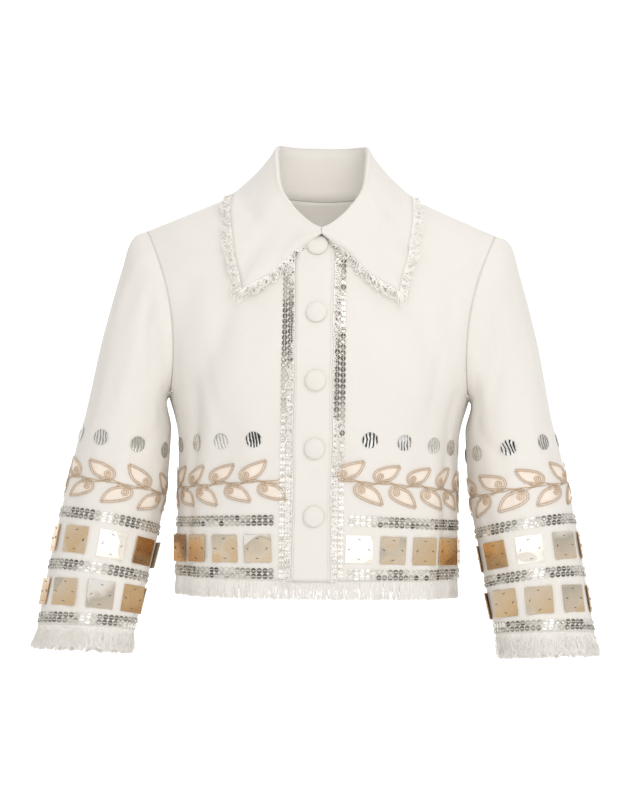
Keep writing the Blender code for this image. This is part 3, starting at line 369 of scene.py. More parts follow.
class JacketColours(bpy.types.PropertyGroup):
    """Colours of the jacket's cloth, threads and metals."""

    cloth: colour_property("Cloth", "Ivory of the cloth", (0.80, 0.765, 0.715))
    thread: colour_property("Thread", "Frayed threads", (0.965, 0.93, 0.88))
    bronze: colour_property("Bronze", "Darkest plates", (0.52, 0.31, 0.15))
    gold: colour_property("Gold", "Middle plates", (0.78, 0.56, 0.32))
    tan: colour_property("Tan", "Paler plates", (0.83, 0.70, 0.545))
    silver: colour_property("Silver", "Sequins and mirrors", (0.78, 0.76, 0.71))
    cord: colour_property("Cord", "Couched cord of the vine", (0.62, 0.44, 0.275))
    leaf: colour_property("Leaf", "Satin filling of the leaves", (0.90, 0.795, 0.69))


def unit(vectors):
    """Vectors of length 1."""
    size = np.linalg.norm(vectors, axis=-1, keepdims=True)
    return vectors / np.maximum(size, 1e-12)


def smooth_profile(table, z):
    """Depth at height z, on a smooth curve through the table."""
    heights = np.array([row.z for row in table])
    depths = np.array([row.y for row in table])
    slopes = np.gradient(depths, heights)
    place = int(np.clip(np.searchsorted(heights, z) - 1, 0, len(heights) - 2))
    step = heights[place + 1] - heights[place]
    t = (z - heights[place]) / step
    start, end = depths[place], depths[place + 1]
    rise, fall = slopes[place] * step, slopes[place + 1] * step
    return (
        start * (2 * t**3 - 3 * t**2 + 1)
        + rise * (t**3 - 2 * t**2 + t)
        + end * (3 * t**2 - 2 * t**3)
        + fall * (t**3 - t**2)
    )


def smooth_rows(rows, split):
    """Catmull-Rom rows between the given rows, which may be points or whole grids."""
    rows = np.array(rows, float)
    padded = np.concatenate([2 * rows[:1] - rows[1:2], rows, 2 * rows[-1:] - rows[-2:-1]])
    fine = []
    for place in range(1, len(padded) - 2):
        p0, p1, p2, p3 = padded[place - 1 : place + 3]
        for t in np.arange(split) / split:
            fine.append(
                0.5 * (
                    2 * p1 + (p2 - p0) * t + (2 * p0 - 5 * p1 + 4 * p2 - p3) * t**2
                    + (3 * p1 - p0 - 3 * p2 + p3) * t**3
                )
            )
    fine.append(rows[-1])
    return np.array(fine)


def arc_lengths(line):
    """Distance along a line of points from its start."""
    steps = np.linalg.norm(np.diff(line, axis=0), axis=1)
    return np.concatenate([[0.0], np.cumsum(steps)])


def points_at(line, distances):
    """Points at given distances along a line."""
    along = arc_lengths(line)
    return np.stack([np.interp(distances, along, line[:, axis]) for axis in range(line.shape[1])], axis=1)


def evenly(line, steps):
    """Points that cut a line into equal steps."""
    return points_at(line, np.linspace(0, arc_lengths(line)[-1], steps + 1))


def mirrored(grid):
    """The same points on the other side of the body."""
    return grid * np.array([-1.0, 1.0, 1.0])


def body_row(inner, outer, turn, full):
    """Curve of one row of the body from a centre or neckline point to a side or armhole point."""
    angle = np.linspace(0, turn * math.pi / 2, ROW_SAMPLES)
    last = angle[-1]
    across = np.sin(angle) ** full / math.sin(last) ** full
    round_back = (1 - np.cos(angle) ** full) / (1 - max(math.cos(last), 0.0) ** full)
    middle = (across + round_back) / 2
    return inner + (outer - inner) * np.stack([across, round_back, middle], axis=1)


def bust_out(z, share):
    """How far the front stands out over the bust at a height and a share of its row."""
    high = math.exp(-(((z - BUST_Z) / BUST_SPREAD_Z) ** 2))
    return BUST_OUT * high * np.exp(-(((share - BUST_MIDDLE) / BUST_SPREAD) ** 2))


def neckline(turn, centre_y, centre_z):
    """Point of the neckline, from its centre at turn 0 to the shoulder seam at turn 1."""
    angle = turn * math.pi / 2
    return np.array([
        NECK_HALF_WIDTH * math.sin(angle),
        NECK_POINT_Y + (centre_y - NECK_POINT_Y) * math.cos(angle),
        NECK_POINT_Z + (centre_z - NECK_POINT_Z) * math.cos(angle),
    ])


def armhole_halves():
    """Armhole seam points of the left side: front from tip to underarm, and back likewise."""
    front = evenly(smooth_rows(ARMHOLE_FRONT, 24), ARMHOLE_STEPS)
    back = evenly(smooth_rows(ARMHOLE_BACK, 24), ARMHOLE_STEPS)[::-1]
    return front, back


def row_shape(place):
    """Turn and fullness of one row of the body, counted from the hem."""
    above = max(place - len(LEVELS) + 1, 0) / ARMHOLE_STEPS
    return FULL_TURN + (NECK_TURN - FULL_TURN) * above, BODY_FULL + (CHEST_FULL - BODY_FULL) * above


def side_ends(armhole_half):
    """Outer ends of the body's rows, from the hem to the shoulder."""
    side = [(row.side_x, SIDE_SEAM_Y, row.side_z) for row in LEVELS[:-1]]
    return np.vstack([side, armhole_half[::-1]])


def front_grid(armhole_front):
    """Points of one front as if on the left side, in millimetres, row by row from the hem."""
    heights = [row.front_z for row in LEVELS]
    step = (FRONT_NECK_Z - heights[-1]) / CENTRE_STEPS
    heights += [heights[-1] + step * (count + 1) for count in range(CENTRE_STEPS)]
    inner_ends = [np.array([0.0, smooth_profile(FRONT_DEPTH, z), z]) for z in heights]
    neck_steps = ARMHOLE_STEPS - CENTRE_STEPS
    for count in range(neck_steps):
        inner_ends.append(neckline((count + 1) / neck_steps, FRONT_NECK_Y, FRONT_NECK_Z))
    grid = []
    for place, (inner, outer) in enumerate(zip(inner_ends, side_ends(armhole_front))):
        if place == len(inner_ends) - 1:
            line = np.linspace(inner, outer, ROW_SAMPLES)
        else:
            line = body_row(inner, outer, *row_shape(place))
            line[:, 1] -= bust_out(inner[2], np.linspace(0, 1, ROW_SAMPLES))
        grid.append(evenly(line, FRONT_COLUMNS))
    return np.array(grid)


def back_grid(armhole_back):
    """Points of the back in millimetres, from the right side seam to the left, hem first."""
    heights = [row.back_z for row in LEVELS]
    step = (BACK_NECK_Z - heights[-1]) / ARMHOLE_STEPS
    heights += [heights[-1] + step * (count + 1) for count in range(ARMHOLE_STEPS)]
    inner_ends = [np.array([0.0, smooth_profile(BACK_DEPTH, z), z]) for z in heights]
    half_columns = BACK_COLUMNS // 2
    rows = []
    for place, (inner, outer) in enumerate(zip(inner_ends, side_ends(armhole_back))):
        half = evenly(body_row(inner, outer, *row_shape(place)), half_columns)
        if place == len(inner_ends) - 1:
            half = back_top_row(outer, half_columns)
        rows.append(np.vstack([mirrored(half)[::-1], half[1:]]))
    return np.array(rows)


def back_top_row(tip, columns):
    """Top of the back on one side: along the neckline, then along the shoulder seam."""
    neck = np.array([neckline(turn, BACK_NECK_Y, BACK_NECK_Z) for turn in np.linspace(0, 1, 40)])
    return evenly(np.vstack([neck, tip[None]]), columns)


def ellipse_ring(centre, side, front, shares):
    """Points at given shares of the way round an ellipse, from its outer side to its front."""
    angle = np.linspace(0, 4 * math.pi, RING_POINTS)
    line = centre + np.outer(np.cos(angle), side) + np.outer(np.sin(angle), front)
    along = arc_lengths(line)
    distances = (shares % 1.0) * along[-1] / 2
    return np.stack([np.interp(distances, along, line[:, axis]) for axis in range(3)], axis=1)


def sleeve_grid(armhole_front, armhole_back, turn):
    """Points of a sleeve as if on the left side, in millimetres, cuff first.

    The columns start and end at the inner line and pass the outer line half way.
    """
    loop = np.vstack([armhole_front, armhole_back[1:-1][::-1]])
    closed = np.vstack([loop[-1:], loop, loop[:2]])
    split = SLEEVE_COLUMNS // len(loop)
    loop = smooth_rows(closed, split)[split : split + SLEEVE_COLUMNS]
    even = np.arange(SLEEVE_COLUMNS) / SLEEVE_COLUMNS
    turned = turn / 360
    top, under = loop[0], loop[SLEEVE_COLUMNS // 2]
    first_front = np.array([0, -FIRST_CAP_DEPTH, 0])
    first = ellipse_ring((top + under) / 2, (top - under) / 2, first_front, even)
    kept = loop - first
    rings = [loop]
    total = len(SLEEVE_CAP) + 2
    for count, cap in enumerate(SLEEVE_CAP):
        high = np.array([cap.top_x, cap.y, cap.top_z])
        low = np.array([cap.under_x, cap.y, cap.under_z])
        share = even + turned * (count + 1) / total
        ring = ellipse_ring((high + low) / 2, (high - low) / 2, np.array([0, -cap.half_depth, 0]), share)
        rings.append(ring + kept * cap.armhole_share)
    for row in SLEEVE_RINGS:
        tilt, lean = math.radians(row.side_tilt), math.radians(row.front_tilt)
        side = row.half_width * np.array([math.cos(tilt), 0, math.sin(tilt)])
        front = row.half_depth * np.array([0, -math.cos(lean), math.sin(lean)])
        rings.append(ellipse_ring(np.array([row.x, row.y, row.z]), side, front, even + turned))
    grid = np.array(rings)[::-1]
    grid = np.roll(grid, SLEEVE_COLUMNS // 2, axis=1)
    return np.concatenate([grid, grid[:, :1]], axis=1)


def fold_shift(piece, across, heights):
    """How far the folds push each point of a piece out, in millimetres."""
    shift = np.zeros_like(across)
    for fold in FOLDS:
        if fold.piece != piece:
            continue
        length = fold.top_z - fold.foot_z
        along = (fold.top_z - heights) / length
        middle = fold.top_across + (fold.foot_across - fold.top_across) * along
        near = np.exp(-(((across - middle) / fold.half_width) ** 2))
        start = np.clip(along * length / FOLD_FADE, 0, 1)
        end = np.clip((1 - along) * length / FOLD_FADE, 0, 1)
        shift += fold.out * near * np.sin(start * math.pi / 2) * np.sin(end * math.pi / 2)
    return shift


def unevenness(piece, across, heights, ring):
    """Soft unevenness of a piece of cloth, in millimetres, that fades towards its seams."""
    noise = np.random.RandomState(sum(piece.encode()))
    shift = np.zeros_like(across)
    round_ways = across / across.max(axis=1, keepdims=True) * 2 * math.pi
    for wave in UNEVEN_WAVES:
        lean, phase = noise.uniform(-0.6, 0.6), noise.uniform(0, 2 * math.pi)
        if ring:
            turns = max(round(across.max() / wave), 1)
            shift += np.sin(turns * round_ways + lean * heights * 2 * math.pi / wave + phase)
        else:
            shift += np.sin((across + lean * heights) * 2 * math.pi / wave + phase)
    ends = 1.0
    if not ring:
        inward = abs(across - across[:, :1])
        ends = np.clip(np.minimum(inward, inward[:, ::-1]) / UNEVEN_FADE, 0, 1)
    top = np.clip(np.arange(len(across))[::-1] / (UNEVEN_ROWS * ROW_SPLIT), 0, 1)[:, None]
    return UNEVEN_OUT * shift * ends * top


class Cloth:
    """One piece of cloth: the points of its outer side in metres, and where things lie on it."""

    def __init__(self, piece, grid, split, ring=False):
        grid = smooth_rows(grid, split) if split > 1 else grid
        lengths = np.array([arc_lengths(row)[-1] for row in grid])
        shares = np.linspace(0, 1, grid.shape[1])
        across = shares[None] * lengths[:, None]
        if piece == "back_panel":
            across = across - lengths[:, None] / 2
        if ring:
            across = ((shares[None] + 0.5) % 1.0) * lengths[:, None]
        middle = grid.mean(axis=1, keepdims=True)
        if not ring:
            middle = middle * np.array([0, 0, 1])
        normals = self.find_normals(grid)
        self.sign = 1.0 if np.sum(normals * (grid - middle)) > 0 else -1.0
        shift = fold_shift(piece, across, grid[..., 2]) + unevenness(piece, across, grid[..., 2], ring)
        shift[-1] = 0
        if not ring:
            shift[:, [0, -1]] = 0
        grid = grid + self.sign * normals * shift[..., None]
        if piece.endswith("_right"):
            grid = mirrored(grid)
            self.sign = -self.sign
        self.piece = piece
        self.grid = grid * MM
        self.split = split
        self.ring = ring
        self.settle()

    @staticmethod
    def find_normals(grid):
        return unit(np.cross(np.gradient(grid, axis=1), np.gradient(grid, axis=0)))

    def settle(self):
        """Work out the normals and lengths of the finished points."""
        self.normals = self.find_normals(self.grid) * self.sign
        self.lengths = np.array([arc_lengths(row)[-1] for row in self.grid])
        steps = np.linalg.norm(np.diff(self.grid, axis=0), axis=2)
        self.heights = np.vstack([np.zeros(self.grid.shape[1]), np.cumsum(steps, axis=0)])

    def sample(self, values, rows, columns):
        """Values of the grid between its points."""
        last_row, last_column = self.grid.shape[0] - 1, self.grid.shape[1] - 1
        rows = np.clip(rows, 0, last_row - 1e-6)
        columns = np.clip(columns, 0, last_column - 1e-6)
        r, c = rows.astype(int), columns.astype(int)
        u, v = rows - r, columns - c
        if values.ndim == 3:
            u, v = u[:, None], v[:, None]
        low = values[r, c] * (1 - v) + values[r, c + 1] * v
        high = values[r + 1, c] * (1 - v) + values[r + 1, c + 1] * v
        return low * (1 - u) + high * u

    def spots(self, share, level, up=0.0):
        """Points and normals at shares of the way across, at a level, and moved up in metres."""
        share, level, up = (np.atleast_1d(x).astype(float) for x in np.broadcast_arrays(share, level, up))
        if self.ring:
            share = (share + 0.5) % 1.0
        columns = share * (self.grid.shape[1] - 1)
        rows = level * self.split
        target = self.sample(self.heights, rows, columns) + up
        for _ in range(4):
            here = self.sample(self.heights, rows, columns)
            spacing = self.sample(self.heights, np.floor(rows) + 1, columns)
            spacing = spacing - self.sample(self.heights, np.floor(rows), columns)
            rows = rows + (target - here) / np.maximum(spacing, 1e-5)
        return self.sample(self.grid, rows, columns), unit(self.sample(self.normals, rows, columns))


class Belt:
    """A way round the jacket or a sleeve, to the viewer's right across its front."""

    def __init__(self, legs):
        self.legs = legs
        self.starts = np.concatenate([[0.0], np.cumsum([cloth.lengths[0] for cloth, _, _ in legs])])
        self.length = self.starts[-1]

    def spots(self, distance, level, up=0.0):
        """Points and normals at distances along the belt's foot, at a level, moved up."""
        distance, level, up = (
            np.atleast_1d(x).astype(float) for x in np.broadcast_arrays(distance, level, up)
        )
        if len(self.legs) == 1:
            distance = distance % self.length
        points = np.zeros((len(distance), 3))
        normals = np.zeros((len(distance), 3))
        leg_of = np.clip(np.searchsorted(self.starts, distance, side="right") - 1, 0, len(self.legs) - 1)
        for place, (cloth, start, end) in enumerate(self.legs):
            chosen = leg_of == place
            if not chosen.any():
                continue
            part = (distance[chosen] - self.starts[place]) / cloth.lengths[0]
            share = start + (end - start) * part
            points[chosen], normals[chosen] = cloth.spots(share, level[chosen], up[chosen])
        return points, normals

    def stands(self, distance, level, up=0.0):
        """Points with the unit ways along the belt, up it and out of it."""
        reach = 1.0 * MM
        points, normals = self.spots(distance, level, up)
        along = unit(self.spots(np.asarray(distance) + reach, level, up)[0] - points)
        along = unit(along - normals * np.sum(along * normals, axis=1, keepdims=True))
        return points, along, np.cross(normals, along), normals


class Form:
    """The cloth surfaces of the jacket, worked out once."""

    made = None

    def __init__(self):
        front, back = armhole_halves()
        coarse = front_grid(front)
        self.cloths = {
            "front_left": Cloth("front_left", coarse, ROW_SPLIT),
            "front_right": Cloth("front_right", coarse, ROW_SPLIT),
            "back_panel": Cloth("back_panel", back_grid(back), ROW_SPLIT),
        }
        for piece, turn in PLATE_TURN.items():
            self.cloths[piece] = Cloth(piece, sleeve_grid(front, back, turn), ROW_SPLIT, ring=True)
        left, right = self.cloths["front_left"], self.cloths["front_right"]
        self.body = Belt([(left, 0.0, 1.0), (self.cloths["back_panel"], 1.0, 0.0), (right, 1.0, 0.0)])
        self.arms = {
            "sleeve_left": Belt([(self.cloths["sleeve_left"], 1.0, 0.0)]),
            "sleeve_right": Belt([(self.cloths["sleeve_right"], 0.0, 1.0)]),
        }
        self.band = self.make_band(left, right)

    def make_band(self, left, right):
        """Outer points of the button band, from its right edge to its left, hem first."""
        rows = np.arange(CENTRE_TOP * ROW_SPLIT + 1) / ROW_SPLIT
        lengths = left.lengths[: len(rows)]
        turns = np.arange(len(rows)) * 2 * math.pi
        wander = BAND_WANDER * (np.sin(turns / 17.0) + 0.6 * np.sin(turns / 9.3 + 1.0))
        columns = []
        for place, distance in enumerate(np.linspace(-BAND_RIGHT, BAND_LEFT, BAND_COLUMNS + 1)):
            cloth = left if distance > 0 else right
            edge = abs(2 * place / BAND_COLUMNS - 1) ** 2
            share = np.minimum((abs(distance) + wander * edge) * MM / lengths, BAND_MOST)
            points, normals = cloth.spots(share, rows)
            pucker = BAND_PUCKER * (1 + np.sin(turns / 11.0 + place * 0.45)) * (0.35 + 0.65 * edge)
            columns.append(points + normals * (1.8 + pucker[:, None]) * MM)
        return np.stack(columns, axis=1)

    @classmethod
    def get(cls):
        if cls.made is None:
            cls.made = cls()
        return cls.made


def grid_faces(rows, columns, flip=False):
    """Faces of a grid whose points run row by row."""
    r, c = np.meshgrid(np.arange(rows - 1), np.arange(columns - 1), indexing="ij")
    low = (r * columns + c).ravel()
    faces = np.stack([low, low + 1, low + columns + 1, low + columns], axis=1)
    return faces[:, ::-1] if flip else faces


def sewn(name, points, faces, finish, uv=None, tone=None, smooth=True):
    """One mesh piece that rides with the jacket, from its points and faces."""
    mesh = bpy.data.meshes.new(name)
    mesh.from_pydata(np.asarray(points).reshape(-1, 3).tolist(), [], np.asarray(faces).tolist())
    if uv is not None:
        corners = np.zeros(len(mesh.loops), int)
        mesh.loops.foreach_get("vertex_index", corners)
        layer = mesh.uv_layers.new(name="UVMap")
        layer.data.foreach_set("uv", np.asarray(uv).reshape(-1, 2)[corners].ravel())
    if tone is not None:
        layer = mesh.attributes.new("tone", "FLOAT", "POINT")
        layer.data.foreach_set("value", np.asarray(tone, float).ravel())
    if smooth:
        mesh.shade_smooth()
    mesh.materials.append(finish)
    piece = bpy.data.objects.new(name, mesh)
    bpy.context.scene.collection.objects.link(piece)
    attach(piece, "root")
    return piece


def grid_uv(grid):
    """Places on a grid of points, in metres along its middle row and up its middle column."""
    rows, columns = grid.shape[:2]
    across = arc_lengths(grid[rows // 2])
    up = arc_lengths(grid[:, columns // 2])
    return np.stack(np.meshgrid(across, up), axis=-1)


def thicken(piece, thickness):
    """Give a sheet its thickness, inwards."""
    solid = piece.modifiers.new("cloth", "SOLIDIFY")
    solid.thickness = thickness
    solid.offset = -1.0
    solid.use_rim = True


def strands(paths, facing, radius, sides, taper=1.0):
    """Points, faces and UVs of many thin round strands with the same number of points each.

    paths has a row of points for each strand, facing a way out for each point or strand, and
    radius one value for each strand. The radius falls to taper times itself at the end.
    """
    count, steps = paths.shape[:2]
    along = unit(np.gradient(paths, axis=1))
    facing = np.broadcast_to(facing, paths.shape)
    side = unit(np.cross(along, facing))
    over = np.cross(side, along)
    radius = np.broadcast_to(np.asarray(radius, float), (count,))
    size = radius[:, None] * np.linspace(1.0, taper, steps)[None]
    points, uv = [], []
    run = np.concatenate(
        [np.zeros((count, 1)), np.cumsum(np.linalg.norm(np.diff(paths, axis=1), axis=2), axis=1)], axis=1
    )
    for corner in range(sides + 1):
        angle = 2 * math.pi * corner / sides
        out = side * math.cos(angle) + over * math.sin(angle)
        points.append(paths + out * size[..., None])
        uv.append(np.stack([np.full(run.shape, corner / sides), run], axis=-1))
    points = np.stack(points, axis=2)
    uv = np.stack(uv, axis=2)
    block = grid_faces(steps, sides + 1, flip=True)
    starts = np.arange(count) * steps * (sides + 1)
    faces = (block[None] + starts[:, None, None]).reshape(-1, 4)
    return points.reshape(-1, 3), faces, uv.reshape(-1, 2)


def joined(parts):
    """Points, faces, UVs and tones of several parts as one, from a list of dictionaries."""
    points, faces, uvs, tones = [], [], [], []
    start = 0
    for part in parts:
        points.append(np.asarray(part["points"]).reshape(-1, 3))
        faces += (np.asarray(part["faces"]) + start).tolist()
        uvs.append(np.asarray(part.get("uv", np.zeros((len(points[-1]), 2)))).reshape(-1, 2))
        tones.append(np.broadcast_to(part.get("tone", 0.5), (len(points[-1]),)))
        start += len(points[-1])
    return {
        "points": np.concatenate(points), "faces": faces,
        "uv": np.concatenate(uvs), "tone": np.concatenate(tones),
    }


def sewn_parts(name, parts, finish, toned=False, smooth=True):
    """One mesh piece made of several parts, with their tones where toned."""
    whole = joined(parts)
    tone = whole["tone"] if toned else None
    return sewn(name, whole["points"], whole["faces"], finish, whole["uv"], tone, smooth)


class Wire:
    """A shader socket that takes part in Python arithmetic."""

    def __init__(self, finish, socket):
        self.finish = finish
        self.socket = socket

    def maths(self, operation, *others):
        values = {0: self}
        values.update({place + 1: other for place, other in enumerate(others)})
        return self.finish.node("ShaderNodeMath", {"operation": operation}, values)

    def __add__(self, other):
        return self.maths("ADD", other)

    def __radd__(self, other):
        return self.maths("ADD", other)

    def __sub__(self, other):
        return self.maths("SUBTRACT", other)

    def __rsub__(self, other):
        return self.finish.node("ShaderNodeMath", {"operation": "SUBTRACT"}, {0: other, 1: self})

    def __mul__(self, other):
        return self.maths("MULTIPLY", other)

    def __rmul__(self, other):
        return self.maths("MULTIPLY", other)

    def sin(self):
        return self.maths("SINE")

    def held(self):
        """The value held between 0 and 1."""
        return self.finish.node("ShaderNodeClamp", {}, {"Value": self})


class Finish:
    """A new material whose Principled shader is fed by nodes."""

    def __init__(self, name, colour, roughness, metallic=0.0, **sockets):
        self.material = bpy.data.materials.new(name)
        self.material.use_nodes = True
        self.tree = self.material.node_tree
        self.shader = self.tree.nodes["Principled BSDF"]
        self.feed("Base Color", (*colour, 1.0))
        self.feed("Roughness", roughness)
        self.feed("Metallic", metallic)
        for socket, value in sockets.items():
            self.feed(socket.replace("_", " "), value)

    def put(self, socket, value):
        if isinstance(value, Wire):
            self.tree.links.new(value.socket, socket)
        else:
            socket.default_value = value

    def feed(self, socket, value):
        """Set one of the shader's sockets to a value or link it."""
        self.put(self.shader.inputs[socket], value)

    def node(self, kind, settings, sockets, output=0):
        """Add a node: its type, its settings, then the values or links of its sockets."""
        made = self.tree.nodes.new(kind)
        for setting, value in settings.items():
            if setting == "stops":
                while len(made.color_ramp.elements) < len(value):
                    made.color_ramp.elements.new(0.5)
                for stop, (place, colour) in zip(made.color_ramp.elements, value):
                    stop.position = place
                    stop.color = (*colour, 1.0)
            else:
                setattr(made, setting, value)
        for socket, value in sockets.items():
            self.put(made.inputs[socket], value)
        return Wire(self, made.outputs[output])

    def uv(self):
        """The two UV coordinates, in metres."""
        place = self.node("ShaderNodeUVMap", {"uv_map": "UVMap"}, {})
        u = self.node("ShaderNodeSeparateXYZ", {}, {0: place}, "X")
        v = self.node("ShaderNodeSeparateXYZ", {}, {0: place}, "Y")
        return u, v

    def noise(self, scale, detail=2.0, vector=None, rough=0.5):
        sockets = {"Scale": scale, "Detail": detail, "Roughness": rough}
        if vector is None:
            vector = self.node("ShaderNodeTexCoord", {}, {}, "Object")
        sockets["Vector"] = vector
        return self.node("ShaderNodeTexNoise", {}, sockets, "Fac")

    def mixed(self, share, first, second):
        """Colour between two colours or links."""
        first = first if isinstance(first, Wire) else (*first, 1.0)
        second = second if isinstance(second, Wire) else (*second, 1.0)
        sockets = {"Factor": share, 6: first, 7: second}
        return self.node("ShaderNodeMix", {"data_type": "RGBA"}, sockets, 2)

    def ramp(self, value, stops):
        return self.node("ShaderNodeValToRGB", {"stops": stops}, {"Fac": value})

    def bump(self, height, distance, strength=1.0):
        """Feed the shader's normal from a height between 0 and 1."""
        sockets = {"Height": height, "Distance": distance, "Strength": strength}
        self.feed("Normal", self.node("ShaderNodeBump", {}, sockets))

    def attribute(self, name):
        return self.node("ShaderNodeAttribute", {"attribute_name": name}, {}, "Fac")


def shade(colour, factor):
    """A colour made lighter or darker."""
    return tuple(min(value * factor, 1.0) for value in colour)


def cloth_finish(name, colour):
    """Ivory crepe: a fine plain weave with small slubs."""
    found = bpy.data.materials.get(name)
    if found:
        return found
    finish = Finish(name, colour, 0.72, Sheen_Weight=0.25, Sheen_Roughness=0.4)
    u, v = finish.uv()
    turn = 2 * math.pi / (WEAVE_PITCH * MM)
    warp, weft = (u * turn).sin(), (v * turn).sin()
    slub = finish.noise(900.0, 3.0)
    weave = (warp * weft * 0.5 + 0.5) * 0.6 + slub * 0.4
    broad = finish.noise(9.0, 3.0)
    thread = finish.noise(260.0, 2.0)
    tint = (broad * 0.6 + thread * 0.25 + weave * 0.15).held()
    finish.feed("Base Color", finish.mixed(tint, shade(colour, 0.93), shade(colour, 1.05)))
    finish.feed("Roughness", 0.64 + slub * 0.16)
    finish.bump(weave + broad * 0.4, 0.00010, 0.55)
    return finish.material


def thread_finish(colours):
    """Loose ivory threads, some greyer than others, with a faint painted glow that lightens them."""
    finish = Finish("frayed_thread", colours.thread, 0.8, Sheen_Weight=0.3, Emission_Strength=1.0)
    # The emission is a painted glow that lifts the threads out of their own shade
    finish.feed("Emission Color", (*shade(colours.thread, THREAD_PAINTED_GLOW), 1.0))
    tone = finish.attribute("tone")
    u, v = finish.uv()
    twist = (u * 2 * math.pi + v * (2 * math.pi / (THREAD_TWIST * MM))).sin() * 0.5 + 0.5
    tint = (tone * 0.8 + twist * 0.2).held()
    finish.feed("Base Color", finish.mixed(tint, shade(colours.thread, 0.80), shade(colours.thread, 1.03)))
    finish.bump(twist, 0.00006, 0.5)
    return finish.material


def plate_finish(colours):
    """Thin gilt sheet whose painted reflections run from bronze to white."""
    finish = Finish("gilt_plate", colours.gold, 0.2, 1.0)
    tone = finish.attribute("tone")
    u, v = finish.uv()
    soft = finish.noise(34.0, 2.0)
    bent = finish.noise(21.0, 1.0)
    fine = finish.noise(900.0, 2.0)
    patch = ((bent - 0.52) * 26.0).held()
    # Painted reflection: over each plate's tone it is painted lighter towards its top and towards one side,
    # varied by soft noise and darker patches
    shown = (tone + (soft - 0.5) * 0.34 + v * 7.0 - u * 3.0 - patch * 0.20).held()
    stops = [
        (0.0, colours.bronze), (0.30, colours.gold), (0.62, colours.tan), (0.82, (0.62, 0.56, 0.46)),
        (0.90, (0.96, 0.90, 0.80)), (0.97, (0.98, 0.965, 0.94)),
    ]
    finish.feed("Base Color", finish.ramp(shown, stops))
    # Painted flash: the whitest plates get a painted glow
    flash = ((tone - FLASH_PLATE_TONE) * 20.0).held()
    finish.feed("Emission Color", finish.mixed(flash, NO_LIGHT, PLATE_PAINTED_GLOW))
    finish.feed("Emission Strength", 1.0)
    finish.feed("Roughness", 0.2 + fine * 0.12)
    finish.bump(soft * 0.7 + fine * 0.004, 0.0012, 0.35)
    return finish.material


def mirror_finish(colours):
    """Crinkled round mirror foil with painted dark and bright reflection waves, the stronger the higher its
    tone.
    """
    finish = Finish("mirror_foil", colours.silver, 0.12, 1.0)
    tone = finish.attribute("tone")
    u, v = finish.uv()
    bend = finish.noise(95.0, 2.0)
    sweep = finish.noise(38.0, 1.0)
    wave = (u * (2 * math.pi / (FOIL_WAVE * MM)) + bend * 11.0 + v * 160.0).sin()
    wave = (wave * 1.3 + (sweep - 0.45) * 6.0 + 0.5).held()
    dark = finish.mixed(tone, (0.80, 0.78, 0.71), (0.07, 0.065, 0.055))
    light = finish.mixed(tone, (0.88, 0.86, 0.80), (0.99, 0.985, 0.97))
    finish.feed("Base Color", finish.mixed(wave, dark, light))
    finish.feed("Roughness", 0.1 + bend * 0.1)
    finish.bump(wave, 0.0005, 0.5)
    return finish.material


def sequin_finish(colours):
    """Silver sequins, each with its own painted reflection brightness, the whitest with a painted glow."""
    finish = Finish("silver_sequin", colours.silver, 0.18, 1.0)
    tone = finish.attribute("tone")
    fine = finish.noise(1500.0, 1.0)
    shown = (tone + (fine - 0.5) * 0.15).held()
    stops = [
        (0.0, (0.09, 0.08, 0.065)), (0.25, (0.30, 0.275, 0.23)), (0.55, (0.69, 0.65, 0.565)),
        (0.8, (0.90, 0.865, 0.785)), (1.0, (1.0, 0.985, 0.955)),
    ]
    finish.feed("Base Color", finish.ramp(shown, stops))
    # Painted flash: the whitest sequins get a painted glow
    flash = ((tone - FLASH_SEQUIN_TONE) * 14.0).held()
    finish.feed("Emission Color", finish.mixed(flash, NO_LIGHT, SEQUIN_PAINTED_GLOW))
    finish.feed("Emission Strength", 1.0)
    finish.feed("Roughness", 0.16 + fine * 0.14)
    finish.bump(fine, 0.0001, 0.3)
    return finish.material


def cord_finish(name, colour):
    """Twisted cord of rose gold thread."""
    finish = Finish(name, colour, 0.42, 0.25, Sheen_Weight=0.2)
    u, v = finish.uv()
    twist = (u * 2 * math.pi + v * (2 * math.pi / (CORD_TWIST * MM))).sin() * 0.5 + 0.5
    fleck = finish.noise(420.0, 2.0)
    tint = (twist * 0.6 + fleck * 0.4).held()
    finish.feed("Base Color", finish.mixed(tint, shade(colour, 0.66), shade(colour, 1.32)))
    finish.feed("Roughness", 0.36 + fleck * 0.2)
    finish.bump(twist, 0.0002, 0.8)
    return finish.material


def leaf_finish(colours):
    """Pale satin stitch that fills the leaves."""
    finish = Finish("satin_leaf", colours.leaf, 0.42, Sheen_Weight=0.3)
    u, v = finish.uv()
    stitch = (u * (2 * math.pi / (SATIN_PITCH * MM))).sin() * 0.5 + 0.5
    broad = finish.noise(120.0, 2.0)
    tint = (stitch * 0.35 + broad * 0.65).held()
    finish.feed("Base Color", finish.mixed(tint, shade(colours.leaf, 0.88), shade(colours.leaf, 1.1)))
    finish.feed("Roughness", 0.36 + broad * 0.18)
    finish.bump(stitch, 0.00012, 0.6)
    return finish.material


def sizes_and_colours(context):
    return context.scene.jacket_sizes, context.scene.jacket_colours


def cloth_piece(cloth, finish, thickness):
    """Sheet of one cloth surface that stands for the solid of the same name."""
    rows, columns = cloth.grid.shape[:2]
    faces = grid_faces(rows, columns, flip=cloth.sign < 0)
    piece = sewn(f"{cloth.piece}_cloth", cloth.grid, faces, finish, uv=grid_uv(cloth.grid))
    thicken(piece, thickness)
    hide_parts(cloth.piece)
    return piece


